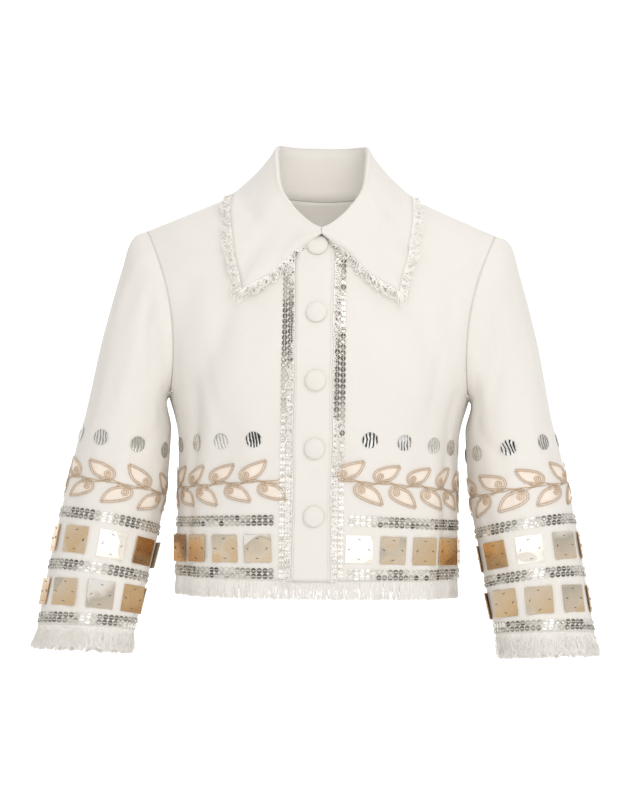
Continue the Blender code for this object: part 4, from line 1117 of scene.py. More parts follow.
class JACKET_OT_body(bpy.types.Operator):
    """Fronts and back of ivory cloth"""

    bl_idname = "jacket.body"
    bl_label = "Fronts and back"

    def execute(self, context):
        sizes, colours = sizes_and_colours(context)
        finish = cloth_finish("ivory_crepe", colours.cloth)
        for piece, flat, area in (
            ("front_left", (0.235, 0.430), 0.080), ("front_right", (0.235, 0.430), 0.080),
            ("back_panel", (0.420, 0.430), 0.160),
        ):
            cloth_piece(Form.get().cloths[piece], finish, sizes.cloth)
        return {"FINISHED"}


class JACKET_OT_sleeves(bpy.types.Operator):
    """Two set-in three-quarter sleeves"""

    bl_idname = "jacket.sleeves"
    bl_label = "Sleeves"

    def execute(self, context):
        sizes, colours = sizes_and_colours(context)
        finish = cloth_finish("ivory_crepe", colours.cloth)
        for piece in PLATE_TURN:
            cloth = Form.get().cloths[piece]
            cloth_piece(cloth, finish, sizes.cloth)
        return {"FINISHED"}


class JACKET_OT_band(bpy.types.Operator):
    """Button band down centre front"""

    bl_idname = "jacket.band"
    bl_label = "Button band"

    def execute(self, context):
        sizes, colours = sizes_and_colours(context)
        grid = Form.get().band
        rows, columns = grid.shape[:2]
        finish = cloth_finish("ivory_crepe", colours.cloth)
        piece = sewn("placket_cloth", grid, grid_faces(rows, columns), finish, uv=grid_uv(grid))
        thicken(piece, sizes.band_cloth)
        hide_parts("placket")
        return {"FINISHED"}


def nearest_cloth(grids):
    """Search tree over several grids, each with its sign, whose faces then point out."""
    corners, faces = [], []
    for grid, sign in grids:
        start = len(corners)
        corners += [Vector(point) for point in grid.reshape(-1, 3)]
        faces += (grid_faces(*grid.shape[:2], flip=sign < 0) + start).tolist()
    return BVHTree.FromPolygons(corners, faces)


def body_tree():
    """Search tree over the body's cloth and the button band."""
    form = Form.get()
    cloths = [form.cloths[name] for name in ("front_left", "front_right", "back_panel")]
    return nearest_cloth([(cloth.grid, cloth.sign) for cloth in cloths] + [(form.band, 1.0)])


def rest_on(points, tree, clearance):
    """Points pushed out where they would come nearer to the cloth than the clearance."""
    flat = points.reshape(-1, 3).copy()
    for place, point in enumerate(flat):
        spot, normal, _, _ = tree.find_nearest(Vector(point))
        if (Vector(point) - spot).dot(normal) < clearance:
            flat[place] = np.array(spot + normal * clearance)
    return flat.reshape(points.shape)


def collar_halves(tree, band_cloth):
    """Stand and fall of the left half of the collar as grids of outer points, in metres."""
    folds = smooth_rows([(row.fold_x, row.fold_y, row.fold_z) for row in COLLAR], COLLAR_SPLIT)
    places = np.arange(len(folds)) / COLLAR_SPLIT
    stations = np.arange(len(COLLAR))
    turns = np.interp(places, stations, [row.turn for row in COLLAR])
    edges = np.array([(row.edge_x, row.edge_y, row.edge_z) for row in COLLAR])
    edges = np.stack([np.interp(places, stations, edges[:, axis]) for axis in range(3)], axis=1)
    necks = []
    for turn in turns:
        if turn <= SIDE_TURN:
            necks.append(neckline(turn / SIDE_TURN, BACK_NECK_Y, BACK_NECK_Z))
        else:
            necks.append(neckline((1 - turn) / SIDE_TURN, FRONT_NECK_Y, FRONT_NECK_Z))
    necks = np.array(necks)
    out = unit(np.gradient(folds, axis=0))
    out = unit(np.stack([out[:, 1], -out[:, 0], np.zeros(len(out))], axis=1))
    out *= np.where(np.sum(out * (edges - folds), axis=1) < 0, -1, 1)[:, None]
    ahead = np.clip((turns - COLLAR_AHEAD[0]) / (COLLAR_AHEAD[1] - COLLAR_AHEAD[0]), 0, 1)[:, None]
    out = unit(out * (1 - ahead) + np.array([0.0, -1.0, 0.0]) * ahead)
    rise = unit(folds - necks) * NECK_CLEAR
    shares = np.linspace(0, 1, STAND_ROWS)
    stand = np.array([necks + rise + (folds - necks - rise) * share for share in shares])
    rows = []
    for degrees in COLLAR_FOLD_DEGREES:
        angle = math.radians(degrees)
        up = np.array([0, 0, COLLAR_FOLD_RADIUS * math.sin(angle)])
        rows.append(folds + out * COLLAR_FOLD_RADIUS * (1 - math.cos(angle)) + up)
    start = rows[-1]
    bow = out * np.interp(turns, FALL_BOW_TURNS, FALL_BOW)[:, None]
    for share in np.linspace(0, 1, FALL_ROWS + 1)[1:]:
        rows.append(start + (edges - start) * share + bow * math.sin(math.pi * share))
    fall = np.array(rows) * MM
    folded = len(COLLAR_FOLD_DEGREES) - 1
    fall[folded:] = rest_on(fall[folded:], tree, band_cloth + FALL_CLEAR * MM)
    return stand * MM, fall


def whole_collar(half):
    """Both halves of a collar grid, joined at centre back."""
    return np.concatenate([half[:, ::-1], mirrored(half[:, 1:])], axis=1)


def wavy_fall(grid):
    """The fall with a soft wave that grows towards its outer edge."""
    normals = Cloth.find_normals(grid)
    facing = np.sum(normals * (grid - COLLAR_MIDDLE), axis=-1, keepdims=True)
    outward = np.where(facing < 0, -1, 1)
    along = arc_lengths(grid[-1]) / MM
    wave = 2 + np.sin(along * 2 * math.pi / 46.0) + np.sin(along * 2 * math.pi / 71.0 + 1.3)
    share = np.linspace(0, 1, len(grid)) ** 2
    return grid + normals * outward * (share[:, None] * wave[None] * FALL_WAVE * MM)[..., None]


class JACKET_OT_collar(bpy.types.Operator):
    """Collar stand and pointed fall"""

    bl_idname = "jacket.collar"
    bl_label = "Collar"

    def execute(self, context):
        sizes, colours = sizes_and_colours(context)
        finish = cloth_finish("ivory_crepe", colours.cloth)
        halves = collar_halves(body_tree(), sizes.band_cloth)
        form = Form.get()
        form.fall = wavy_fall(whole_collar(halves[1]))
        for name, grid, flip, flat, area in (
            ("collar_stand", whole_collar(halves[0]), False, (0.400, 0.060), 0.0168),
            ("collar_fall", form.fall, True, (0.600, 0.105), 0.0440),
        ):
            faces = grid_faces(*grid.shape[:2], flip=flip)
            piece = sewn(f"{name}_cloth", grid, faces, finish, uv=grid_uv(grid))
            thicken(piece, sizes.band_cloth)
            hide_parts(name)
        return {"FINISHED"}


class JACKET_OT_buttons(bpy.types.Operator):
    """Five cloth-covered buttons on the band"""

    bl_idname = "jacket.buttons"
    bl_label = "Buttons"

    sides = 48

    def execute(self, context):
        sizes, colours = sizes_and_colours(context)
        finish = cloth_finish("covered_crepe", shade(colours.cloth, 0.985))
        tree = nearest_cloth([(Form.get().band, 1.0)])
        outline = np.array(BUTTON_OUTLINE) * np.array([sizes.button_radius, sizes.button_height])
        angles = np.linspace(0, 2 * math.pi, self.sides + 1)
        local = np.stack([
            np.outer(outline[:, 0], np.cos(angles)), np.outer(outline[:, 0], np.sin(angles)),
            np.repeat(outline[:, 1:], len(angles), axis=1),
        ], axis=-1)
        for count in range(BUTTON_COUNT):
            z = (FIRST_BUTTON_Z - count * BUTTON_STEP) * MM
            spot, normal, _, _ = tree.ray_cast(Vector((BUTTON_X * MM, AHEAD_Y, z)), Vector((0, 1, 0)))
            if normal.y > 0:
                normal = -normal
            turn = np.array(normal.to_track_quat("Z", "Y").to_matrix())
            points = local @ turn.T + np.array(spot + normal * 0.3 * MM)
            faces = grid_faces(*local.shape[:2], flip=True)
            name = f"button_{count + 1}"
            piece = sewn(f"{name}_cover", points, faces, finish, uv=local[..., :2])
            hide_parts(name)
        return {"FINISHED"}


def plate_parts(belt, spots, level, size, thickness):
    """Flat square plates at distances along a belt, each clear of the cloth under it."""
    half = size / 2
    steps = np.array([-1.0, -0.985, -0.5, 0.0, 0.5, 0.985, 1.0])
    u, v = np.meshgrid(steps * half, steps * half)
    edge = np.maximum(abs(u), abs(v)) > 0.99 * half
    parts = []
    for distance, tone in spots:
        points, along, up, out = belt.stands([distance], level)
        centre, along, up, out = points[0], along[0], up[0], out[0]
        ring = [(x, y) for x in (-half, 0, half) for y in (-half, 0, half)]
        near = np.array([belt.spots(distance + x, level, y)[0][0] for x, y in ring])
        lift = max(np.sum((near - centre) * out, axis=1).max(), 0.0) + 0.35 * MM + thickness
        tilt = rng.uniform(-0.010, 0.010)
        dents = np.random.RandomState(len(parts)).normal(0, 0.02 * MM, u.shape)
        height = lift + u * tilt - edge * 0.25 * MM + dents
        top = centre + u[..., None] * along + v[..., None] * up + height[..., None] * out
        skirt = [(0, c) for c in range(7)] + [(r, 6) for r in range(1, 7)]
        skirt += [(6, c) for c in range(5, -1, -1)] + [(r, 0) for r in range(5, 0, -1)]
        low = np.array([top[r, c] - out * thickness for r, c in skirt])
        faces = grid_faces(7, 7).tolist()
        total = len(skirt)
        for place, (r, c) in enumerate(skirt):
            after = (place + 1) % total
            r2, c2 = skirt[after]
            faces.append([r2 * 7 + c2, r * 7 + c, 49 + place, 49 + after])
        faces.append([49 + 18, 49 + 12, 49 + 6, 49])
        uv = np.concatenate([np.stack([u, v], axis=-1).reshape(-1, 2), np.zeros((total, 2))])
        parts.append({
            "points": np.concatenate([top.reshape(-1, 3), low]), "faces": np.array(faces),
            "uv": uv, "tone": tone, "frame": (centre + lift * out, along, up, out),
        })
    return parts


def stitch_paths(frames, size):
    """Short bent threads near the middle of each plate's sides, holding it down."""
    paths, ways = [], []
    inset = size / 2 - 4.2 * MM
    for centre, along, up, out in frames:
        for x, y in ((inset, 0), (-inset, 0), (0, inset), (0, -inset)):
            angle = rng.uniform(-0.5, 0.5) + (0.0 if x == 0 else rng.choice((0.7, -0.7)))
            way = along * math.cos(angle) + up * math.sin(angle)
            middle = centre + along * (x + rng.uniform(-0.6, 0.6) * MM) + up * y
            half = rng.uniform(1.3, 1.8) * MM
            steps = np.linspace(-1, 1, 5)
            bow = (1 - steps**2) * 0.6 * MM
            paths.append(middle + np.outer(steps * half, way) + np.outer(bow, out))
            ways.append(np.broadcast_to(out, (5, 3)))
    return np.array(paths), np.array(ways)


def plate_spots(form):
    """Distances and tones of the plates on the body, from the wearer's left of centre front."""
    half = (BODY_PITCH - PLATE_SIDE) / 2
    middle = PLATE_SIDE / 2
    spots = []
    for count in range(LEFT_PLATES):
        spots.append(((LEFT_FIRST_PLATE + count * BODY_PITCH + middle) * MM, LEFT_PLATE_TONES[count]))
    centre_back = (form.body.starts[1] + form.body.starts[2]) / 2
    for count in range(BACK_HALF_PLATES):
        for sign in (-1, 1):
            distance = centre_back + sign * (half + count * BODY_PITCH + middle) * MM
            # Back plates get random painted reflection tones
            spots.append((distance, 0.25 + 0.55 * rng.random()))
    for count in range(RIGHT_PLATES):
        distance = form.body.length - (RIGHT_FIRST_PLATE + count * BODY_PITCH + middle) * MM
        spots.append((distance, RIGHT_PLATE_TONES[count]))
    return spots


def sleeve_distance(belt, piece, share):
    """Distance along a sleeve's belt of a share of the way round from its outer line to its front."""
    return (1.0 - share if piece == "sleeve_left" else share) * belt.length


class JACKET_OT_plates(bpy.types.Operator):
    """Square metal plates round hem and sleeves, with their stitches"""

    bl_idname = "jacket.plates"
    bl_label = "Metal plates"

    def execute(self, context):
        sizes, colours = sizes_and_colours(context)
        finish = plate_finish(colours)
        stitching = cord_finish("bronze_stitch", (0.16, 0.10, 0.055))
        form = Form.get()
        rows = [("body", form.body, plate_spots(form), BODY_PLATE_LEVEL)]
        for piece, belt in form.arms.items():
            for level in SLEEVE_PLATE_LEVELS:
                spots = []
                for count in range(SLEEVE_PLATES):
                    distance = sleeve_distance(belt, piece, count / SLEEVE_PLATES)
                    spots.append((distance, self.sleeve_tone(piece, level, count)))
                rows.append((f"{piece}_{int(level)}", belt, spots, level))
        for name, belt, spots, level in rows:
            parts = plate_parts(belt, spots, level, sizes.plate, sizes.plate_thickness)
            sewn_parts(f"plates_{name}", parts, finish, toned=True, smooth=False)
            paths, ways = stitch_paths([part["frame"] for part in parts], sizes.plate)
            points, faces, uv = strands(paths, ways, PLATE_STITCH_RADIUS * MM, 6, 0.8)
            sewn(f"plate_stitches_{name}", points, faces, stitching, uv=uv)
        return {"FINISHED"}

    @staticmethod
    def sleeve_tone(piece, level, count):
        """Painted reflection brightness of one sleeve plate, counted from the outer line towards the front.
        """
        upper = {"sleeve_left": (0.25, 0.74, 1.0, 0.25), "sleeve_right": (0.35, 0.58, 1.0, 0.10)}
        lower = {"sleeve_left": (0.2, 0.7, 0.72, 0.4), "sleeve_right": (0.35, 0.66, 0.86, 0.12)}
        tones = (upper if level > 2 else lower)[piece]
        return tones[count] if count < len(tones) else 0.3 + 0.5 * rng.random()


def disc_parts(belt, spots, level, radius):
    """Round mirrors, slightly crinkled, at distances along a belt."""
    rings, sides = 5, 28
    angles = np.linspace(0, 2 * math.pi, sides + 1)
    shares = np.linspace(0.02, 1, rings + 1)
    u, v = np.outer(shares, np.cos(angles)) * radius, np.outer(shares, np.sin(angles)) * radius
    parts = []
    for distance, tone in spots:
        points, along, up, out = belt.stands([distance], level)
        ring = [(radius * math.cos(a), radius * math.sin(a)) for a in angles[::4]]
        near = np.array([belt.spots(distance + x, level, y)[0][0] for x, y in ring])
        lift = max(np.sum((near - points[0]) * out[0], axis=1).max(), 0.0) + 0.7 * MM
        phase = rng.uniform(0, 6)
        wave = np.sin(u / (0.55 * MM) + 1.6 * np.sin(v / (2.6 * MM) + phase) + phase)
        height = lift + wave * 0.16 * MM
        height[-1] = lift - 0.35 * MM
        grid = points[0] + u[..., None] * along[0] + v[..., None] * up[0] + height[..., None] * out[0]
        parts.append({
            "points": grid, "faces": grid_faces(rings + 1, sides + 1), "uv": np.stack([u, v], axis=-1),
            "tone": tone,
        })
    return parts


class JACKET_OT_discs(bpy.types.Operator):
    """Round crinkled mirrors above the vine"""

    bl_idname = "jacket.discs"
    bl_label = "Mirrors"

    def execute(self, context):
        sizes, colours = sizes_and_colours(context)
        finish = mirror_finish(colours)
        form = Form.get()
        spots = []
        # Mirror tones set how strongly their painted dark and bright reflection waves show
        for count in range(LEFT_DISCS):
            spots.append(((LEFT_FIRST_DISC + count * BODY_PITCH) * MM, (1.0, 0.8, 0.12, 0.1, 0.2)[count]))
        for count in range(RIGHT_DISCS):
            distance = form.body.length - (RIGHT_FIRST_DISC + count * BODY_PITCH) * MM
            spots.append((distance, (1.0, 0.35, 0.1, 0.2)[count]))
        centre_back = (form.body.starts[1] + form.body.starts[2]) / 2
        for count in range(BACK_HALF_DISCS):
            for sign in (-1, 1):
                spots.append((centre_back + sign * (count + 0.5) * BODY_PITCH * MM, 0.4 + 0.5 * rng.random()))
        rows = [("body", form.body, spots, DISC_LEVEL)]
        for piece, belt in form.arms.items():
            turn = DISC_TURN[piece] / 360
            spots = []
            for count in range(SLEEVE_PLATES):
                distance = sleeve_distance(belt, piece, count / SLEEVE_PLATES + turn)
                spots.append((distance, SLEEVE_DISC_TONES[piece][count % 4]))
            rows.append((piece, belt, spots, SLEEVE_DISC_LEVEL))
        for name, belt, spots, level in rows:
            parts = disc_parts(belt, spots, level, sizes.disc_radius)
            sewn_parts(f"mirrors_{name}", parts, finish, toned=True)
        return {"FINISHED"}


def sequin_shape(radius):
    """Points and faces of one cupped sequin with a small hole."""
    sides = 12
    angles = np.linspace(0, 2 * math.pi, sides + 1) + math.pi / sides
    rings = ((0.10, 0.05), (0.52, 0.02), (0.90, 0.16), (1.0, 0.10))
    u = np.array([[share * math.cos(a) for a in angles] for share, _ in rings]) * radius
    v = np.array([[share * math.sin(a) for a in angles] for share, _ in rings]) * radius
    w = np.array([[high for _ in angles] for _, high in rings]) * radius
    return np.stack([u, v, w], axis=-1), grid_faces(len(rings), sides + 1)


def sequin_parts(stands, tones, radius):
    """Sequins on given points, each tilted a little its own way."""
    shape, faces = sequin_shape(radius)
    flat = shape.reshape(-1, 3)
    upper = flat[:, 1] > 0
    rim = np.hypot(flat[:, 0], flat[:, 1]) > 0.8 * radius
    points, all_faces, all_tones = [], [], []
    for place, (centre, along, up, out) in enumerate(zip(*stands)):
        tip, roll = rng.uniform(-0.09, 0.09), rng.uniform(-0.07, 0.11)
        lift = 0.55 * MM + (place % 2) * 0.18 * MM
        height = flat[:, 2] + flat[:, 0] * tip + flat[:, 1] * roll + lift
        across = np.outer(flat[:, 0], along) + np.outer(flat[:, 1], up)
        points.append(centre + across + np.outer(height, out))
        all_faces.append(faces + place * len(flat))
        # Painted light and shade: one half of each sequin is painted darker and the other half lighter, and
        # its rim darker as the shade between neighbours
        split = rng.uniform(-0.10, 0.16)
        shade_of_rim = np.where(rim, SEQUIN_RIM_SHADE * (1 - tones[place]), 0)
        shown = tones[place] + np.where(upper, -split, split) - shade_of_rim
        all_tones.append(np.clip(shown, 0, 1))
    return np.concatenate(points), np.concatenate(all_faces), np.concatenate(all_tones)


def sequin_tones(places, flashes=()):
    """Painted reflection brightness of sequins along a row: neighbours are much alike but near a painted
    flash or painted dark stretch.
    """
    bases = np.array([rng.uniform(0.36, 0.88) for _ in range(len(places) // 5 + 2)])
    tones = np.interp(np.arange(len(places)) / 5, np.arange(len(bases)), bases)
    tones = tones + np.array([rng.uniform(-0.10, 0.10) for _ in places])
    # A few sequins painted dark, as dark reflections
    dark = np.array([rng.random() < 0.10 for _ in places])
    tones = np.where(dark, 0.12, tones)
    for middle, reach, shown in flashes:
        near = np.clip(1.4 - abs(places - middle) / reach, 0, 1)
        tones = tones + (shown - tones) * near
    return tones


def band_rows(belt, level, start, end, pitch, stagger, flashes):
    """Two rows of sequins along a belt, with the thread that crosses each row."""
    stands = [[], [], [], []]
    tones, threads = [], []
    for row, offset in enumerate((-0.5, 0.5)):
        count = int((end - start) / pitch)
        distance = start + (np.arange(count) + 0.5 + stagger * row) * (end - start) / (count + stagger)
        up = offset * pitch * 0.97
        for kept, more in zip(stands, belt.stands(distance, level, up)):
            kept.append(more)
        tones.append(sequin_tones(distance, flashes))
        steps = np.linspace(start, end, max(int((end - start) / (2.4 * MM)), 2))
        points, normals = belt.spots(steps, level, up)
        threads.append((points + normals * SEQUIN_THREAD_LIFT * MM, normals))
    return [np.concatenate(kept) for kept in stands], np.concatenate(tones), threads


class JACKET_OT_sequins(bpy.types.Operator):
    """Double rows of sequins round hem and sleeves and down both sides of the band"""

    bl_idname = "jacket.sequins"
    bl_label = "Sequins"

    def execute(self, context):
        sizes, colours = sizes_and_colours(context)
        finish = sequin_finish(colours)
        thread = cord_finish("sequin_thread", shade(colours.thread, 0.95))
        form = Form.get()
        pitch = sizes.sequin_pitch
        bands = []
        for number, level in enumerate(BODY_BAND_LEVELS):
            start, end = LEFT_BAND_START * MM, form.body.length - RIGHT_BAND_START * MM
            # Painted dark and white reflection stretches of the hem's sequin rows
            flashes = [(0.088, 0.010, 0.36), (0.046, 0.018, 0.97), (form.body.length - 0.060, 0.013, 0.24)]
            bands.append((f"body_{number + 1}", form.body, level, start, end, 0.0, flashes))
        for piece, belt in form.arms.items():
            ahead = sleeve_distance(belt, piece, 0.25)
            for number, level in enumerate(SLEEVE_BAND_LEVELS):
                middle = ahead + SLEEVE_FLASH[piece]
                flashes = [(middle + place, reach, shown) for place, reach, shown in SLEEVE_FLASHES]
                stagger = 0.35 if piece == "sleeve_left" else 0.0
                bands.append((f"{piece}_{number + 1}", belt, level, 0.0, belt.length, stagger, flashes))
        for name, belt, level, start, end, stagger, flashes in bands:
            stands, tones, threads = band_rows(belt, level, start, end, pitch, stagger, flashes)
            self.sew(name, stands, tones, threads, sizes, finish, thread)
        for piece, first in (("front_left", LEFT_STRIP), ("front_right", RIGHT_STRIP)):
            self.strip(form.cloths[piece], first, sizes, finish, thread)
        return {"FINISHED"}

    @staticmethod
    def sew(name, stands, tones, threads, sizes, finish, thread):
        points, faces, tone = sequin_parts(stands, tones, sizes.sequin_radius)
        sewn(f"sequins_{name}", points, faces, finish, tone=tone)
        parts = []
        for path, normals in threads:
            made, made_faces, uv = strands(path[None], normals[None], SEQUIN_THREAD_RADIUS * MM, 4)
            parts.append({"points": made, "faces": made_faces, "uv": uv})
        sewn_parts(f"sequin_thread_{name}", parts, thread)

    def strip(self, cloth, first, sizes, finish, thread):
        """Two upright rows of sequins beside the button band."""
        pitch = sizes.sequin_pitch
        length = cloth.heights[CENTRE_TOP * ROW_SPLIT, 4] - 7.0 * MM
        ups = np.arange(5.0 * MM, length, pitch)
        stands = [[], [], [], []]
        tones, threads = [], []
        for column in range(2):
            shift = (first + column * pitch / MM) * MM
            points = []
            for up in ups:
                row = np.interp(up, cloth.heights[:, 4], np.arange(len(cloth.heights)))
                width = np.interp(row, np.arange(len(cloth.lengths)), cloth.lengths)
                spot, normal = cloth.spots(shift / width, row / cloth.split)
                beside, _ = cloth.spots(shift / width + 0.01, row / cloth.split)
                along = unit(beside - spot)
                stands[0].append(spot)
                stands[1].append(along)
                stands[2].append(unit(np.cross(normal, along)))
                stands[3].append(normal)
                points.append(np.concatenate([spot, normal]))
            tones.append(sequin_tones(ups, STRIP_FLASHES[cloth.piece]))
            path = smooth_rows(np.array(points), 3)
            threads.append((path[:, 0] + path[:, 1] * SEQUIN_THREAD_LIFT * MM, path[:, 1]))
        stands = [np.concatenate(kept) for kept in stands]
        self.sew(f"strip_{cloth.piece}", stands, np.concatenate(tones), threads, sizes, finish, thread)


def leaf_lines():
    """Outline, curl and filling edge of one leaf, beside a stem that runs along the first axis."""
    belly = smooth_rows(LEAF_BELLY, 6)
    back = smooth_rows(LEAF_BACK, 6)
    start = back[-1]
    radius = np.linspace(*LEAF_CURL_RADIUS, 44)
    angle = LEAF_CURL_START + np.linspace(0, -2 * math.pi * LEAF_CURL_TURNS, 44)
    curl = np.array(LEAF_CURL) + np.stack([np.cos(angle) * radius, np.sin(angle) * radius], axis=1)
    curl = np.vstack([smooth_rows([start, (start + curl[0]) / 2, curl[0]], 2), curl[1:]])
    return belly * MM, back * MM, curl * MM


def offset_line(line, distance):
    """A line in the plane moved to its left."""
    along = unit(np.gradient(line, axis=0))
    return line + np.stack([-along[:, 1], along[:, 0]], axis=1) * distance


def couched(belt, level, line, lift, radius, sides=6):
    """A cord laid on the cloth along a line of distances and heights."""
    count = max(int(arc_lengths(line)[-1] / (1.15 * MM)), 6)
    line = evenly(line, count)
    points, normals = belt.spots(line[:, 0], level, line[:, 1])
    if len(belt.legs) > 1:
        near = np.minimum(line[:, 0], belt.length - line[:, 0]) / MM
        lift = (lift + np.clip((STRIPS_REACH - near) / 6, 0, 1) * OVER_SEQUINS * MM)[:, None]
    made, faces, uv = strands((points + normals * lift)[None], normals[None], radius, sides)
    return {"points": made, "faces": faces, "uv": uv}


def leaf_filling(belt, level, outline, origin, way, side):
    """Domed satin patch inside a leaf's outline."""
    middle = outline.mean(axis=0)
    rings = []
    for share, lift in ((0.97, 0.15), (0.75, 0.55), (0.45, 0.85), (0.15, 0.95), (0.0, 1.0)):
        ring = middle + (outline - middle) * share
        placed = origin + ring * np.array([way, side])
        points, normals = belt.spots(placed[:, 0], level, placed[:, 1])
        rings.append(points + normals * lift * MM)
    grid = np.array(rings)
    flat = np.array([middle + (outline - middle) * share for share in (0.97, 0.75, 0.45, 0.15, 0.0)])
    return {"points": grid, "faces": grid_faces(*grid.shape[:2], flip=way * side < 0), "uv": flat}


def vine_parts(belt, level, start, end, first_leaf, way, radius, pitch, forked):
    """Cords and fillings of one vine: a double stem with leaves by turns above and below it."""
    belly, back, curl = leaf_lines()
    outline = np.vstack([belly, back[1:]])
    cords, fillings = [], []
    gap = radius * CORD_PARTING
    last_leaf = end - 10 * MM if forked else end + 2 * MM
    for side, shift in ((1, 0.0), (-1, 0.5)):
        place = first_leaf + shift * pitch
        while place > start:
            place -= pitch
        place += pitch
        while place < last_leaf:
            size = rng.uniform(0.93, 1.05)
            turn = rng.uniform(-0.07, 0.07)
            spin = np.array([[math.cos(turn), -math.sin(turn)], [math.sin(turn), math.cos(turn)]])
            origin = np.array([place, side * 0.4 * MM])
            flat = np.array([way, side])
            for line in (belly, back):
                for sign in (1, -1):
                    moved = offset_line(line, sign * gap) @ spin.T * size
                    cords.append(couched(belt, level, origin + moved * flat, 1.15 * MM, radius))
            moved = curl @ spin.T * size
            cords.append(couched(belt, level, origin + moved * flat, 1.5 * MM, radius))
            fillings.append(leaf_filling(belt, level, outline @ spin.T * size, origin, way, side))
            place += pitch
    steps = np.arange(start, end, 1.2 * MM)
    for strand in (-1, 1):
        phase = (steps - first_leaf) * 2 * math.pi / pitch
        height = 1.2 * MM * np.sin(phase + 0.4) + strand * (0.95 + 0.55 * np.sin(phase * 2)) * MM
        if forked:
            tail = np.clip(1 - (end - steps) / (TAIL_LENGTH * MM), 0, 1)
            height = height + strand * TAIL_SPREAD * MM * tail**1.5
        line = np.stack([steps, height], axis=1)
        cords.append(couched(belt, level, line, 0.85 * MM, radius))
    return cords, fillings


class JACKET_OT_vine(bpy.types.Operator):
    """Couched vine with satin leaves round the body and the sleeves"""

    bl_idname = "jacket.vine"
    bl_label = "Vine"

    def execute(self, context):
        sizes, colours = sizes_and_colours(context)
        cord = cord_finish("rose_gold_cord", colours.cord)
        satin = leaf_finish(colours)
        form = Form.get()
        pitch = sizes.leaf_pitch
        body_count = round((form.body.length - 64 * MM) / pitch)
        body_pitch = (form.body.length - 64 * MM) / body_count
        rows = [("body", form.body, VINE_LEVEL, 20 * MM, form.body.length - 33 * MM, 28 * MM, 1, body_pitch)]
        for piece, belt in form.arms.items():
            ahead = sleeve_distance(belt, piece, 0.25)
            arm_pitch = belt.length / SLEEVE_PLATES
            rows.append((piece, belt, SLEEVE_VINE_LEVEL, 0.0, belt.length - 1.0 * MM,
                         (ahead + arm_pitch / 2) % belt.length, -1, arm_pitch))
        for name, belt, level, start, end, first, way, pitch in rows:
            cords, fillings = vine_parts(
                belt, level, start, end, first, way, sizes.cord_radius, pitch, name == "body")
            sewn_parts(f"vine_{name}", cords, cord)
            sewn_parts(f"leaves_{name}", fillings, satin)
        return {"FINISHED"}


# In a fringe's look, pale is how light its threads are painted: the dense hem and cuff fringes are painted
# darker, as the shade among their threads
Fray = namedtuple("Fray", "gap thick tuft gather lean curl lift uneven pale")
HEM_FRAY = Fray(0.60, 1.0, 2.6, 0.04, 0.028, 0.07, 0.0, 0.022, 0.28)
CUFF_FRAY = Fray(0.74, 1.0, 3.4, 0.10, 0.11, 0.26, 0.0, 0.06, 0.62)
COLLAR_FRAY = Fray(1.9, 1.35, 5.0, 0.66, 0.45, 0.42, 0.05, 0.42, 0.95)
BAND_FRAY = Fray(2.2, 1.45, 6.5, 0.80, 0.55, 0.45, 0.06, 0.42, 0.90)
COLLAR_FRAY_LONGER = 1.3
BAND_FRAY_LONGER = 1.1
# Heights above the hem between which the band's threads are worn short, and how short
SHORT_FRAY = {"left": (0.170, 0.272), "right": (0.222, 0.330)}
SHORT_FRAY_SHARE = 0.30
SHORT_FRAY_FADE = 0.012


def fray(name, line, out, down, length, look, sizes, finish, node, tree=None, worn=None):
    """Frayed edge: loose threads along a line that gather in tufts, each with its own bend."""
    along = arc_lengths(line)
    steps = 5
    paths, facings, tones = [], [], []
    tufts = np.arange(-look.tuft * MM, along[-1] + 2 * look.tuft * MM, look.tuft * MM)
    for layer in range(sizes.fray_layers):
        noise = np.random.RandomState(SEED + layer + len(name))
        centres = tufts + noise.uniform(-0.3, 0.3, len(tufts)) * look.tuft * MM
        leans = noise.normal(0, look.lean, len(tufts))
        lengths = 1 - abs(noise.normal(0, look.uneven, len(tufts)))
        gap = sizes.fray_gap * look.gap
        places = np.arange(gap * (0.3 + 0.4 * layer), along[-1], gap)
        places = places + noise.uniform(-0.4, 0.4, len(places)) * gap
        own = np.argmin(abs(places[:, None] - centres[None]), axis=1)

        def spread_out(values):
            return np.stack([np.interp(places, along, values[:, axis]) for axis in range(3)], axis=1)

        root, facing, way = spread_out(line), unit(spread_out(out)), unit(spread_out(down))
        side = unit(spread_out(np.gradient(line, axis=0)))
        count = len(places)
        size = length * np.clip(lengths[own], 0.35, 1) * noise.uniform(0.9, 1.04, count)
        if worn is not None:
            size = size * np.interp(places, along, worn)
        stray = noise.random(count) < 0.06
        pull = np.where(stray, 0.0, look.gather) * (centres[own] - places)
        sway = size * (leans[own] + noise.normal(0, look.lean * 0.35, count)) + pull
        bend = size * noise.normal(0, look.curl, count) * np.where(stray, 2.5, 1.0)
        rise = size * noise.normal(look.lift, look.curl * 0.4, count)
        t = np.linspace(0, 1, steps)[None, :, None]
        start = root + facing * (0.1 - 0.5 * layer) * 0.9 * MM - way * 0.5 * MM
        path = (
            start[:, None] + way[:, None] * size[:, None, None] * t
            + side[:, None] * sway[:, None, None] * t**1.2
            + side[:, None] * bend[:, None, None] * np.sin(t * math.pi)
            + facing[:, None] * rise[:, None, None] * t**1.5
        )
        if tree is not None:
            path = rest_on(path, tree, 0.5 * MM)
        paths.append(path)
        facings.append(np.repeat(facing[:, None], steps, axis=1))
        # Each lower layer of threads is painted a little darker, a painted shade under the layer above
        pale = np.clip(noise.normal(look.pale - 0.10 * layer, 0.22, count), 0, 1)
        tones.append(np.repeat(pale, steps * 4))
    points, faces, uv = strands(
        np.concatenate(paths), np.concatenate(facings), sizes.thread_radius * look.thick, 3, 0.75)
    piece = sewn(name, points, faces, finish, uv=uv, tone=np.concatenate(tones))
    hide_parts(node)
    return piece


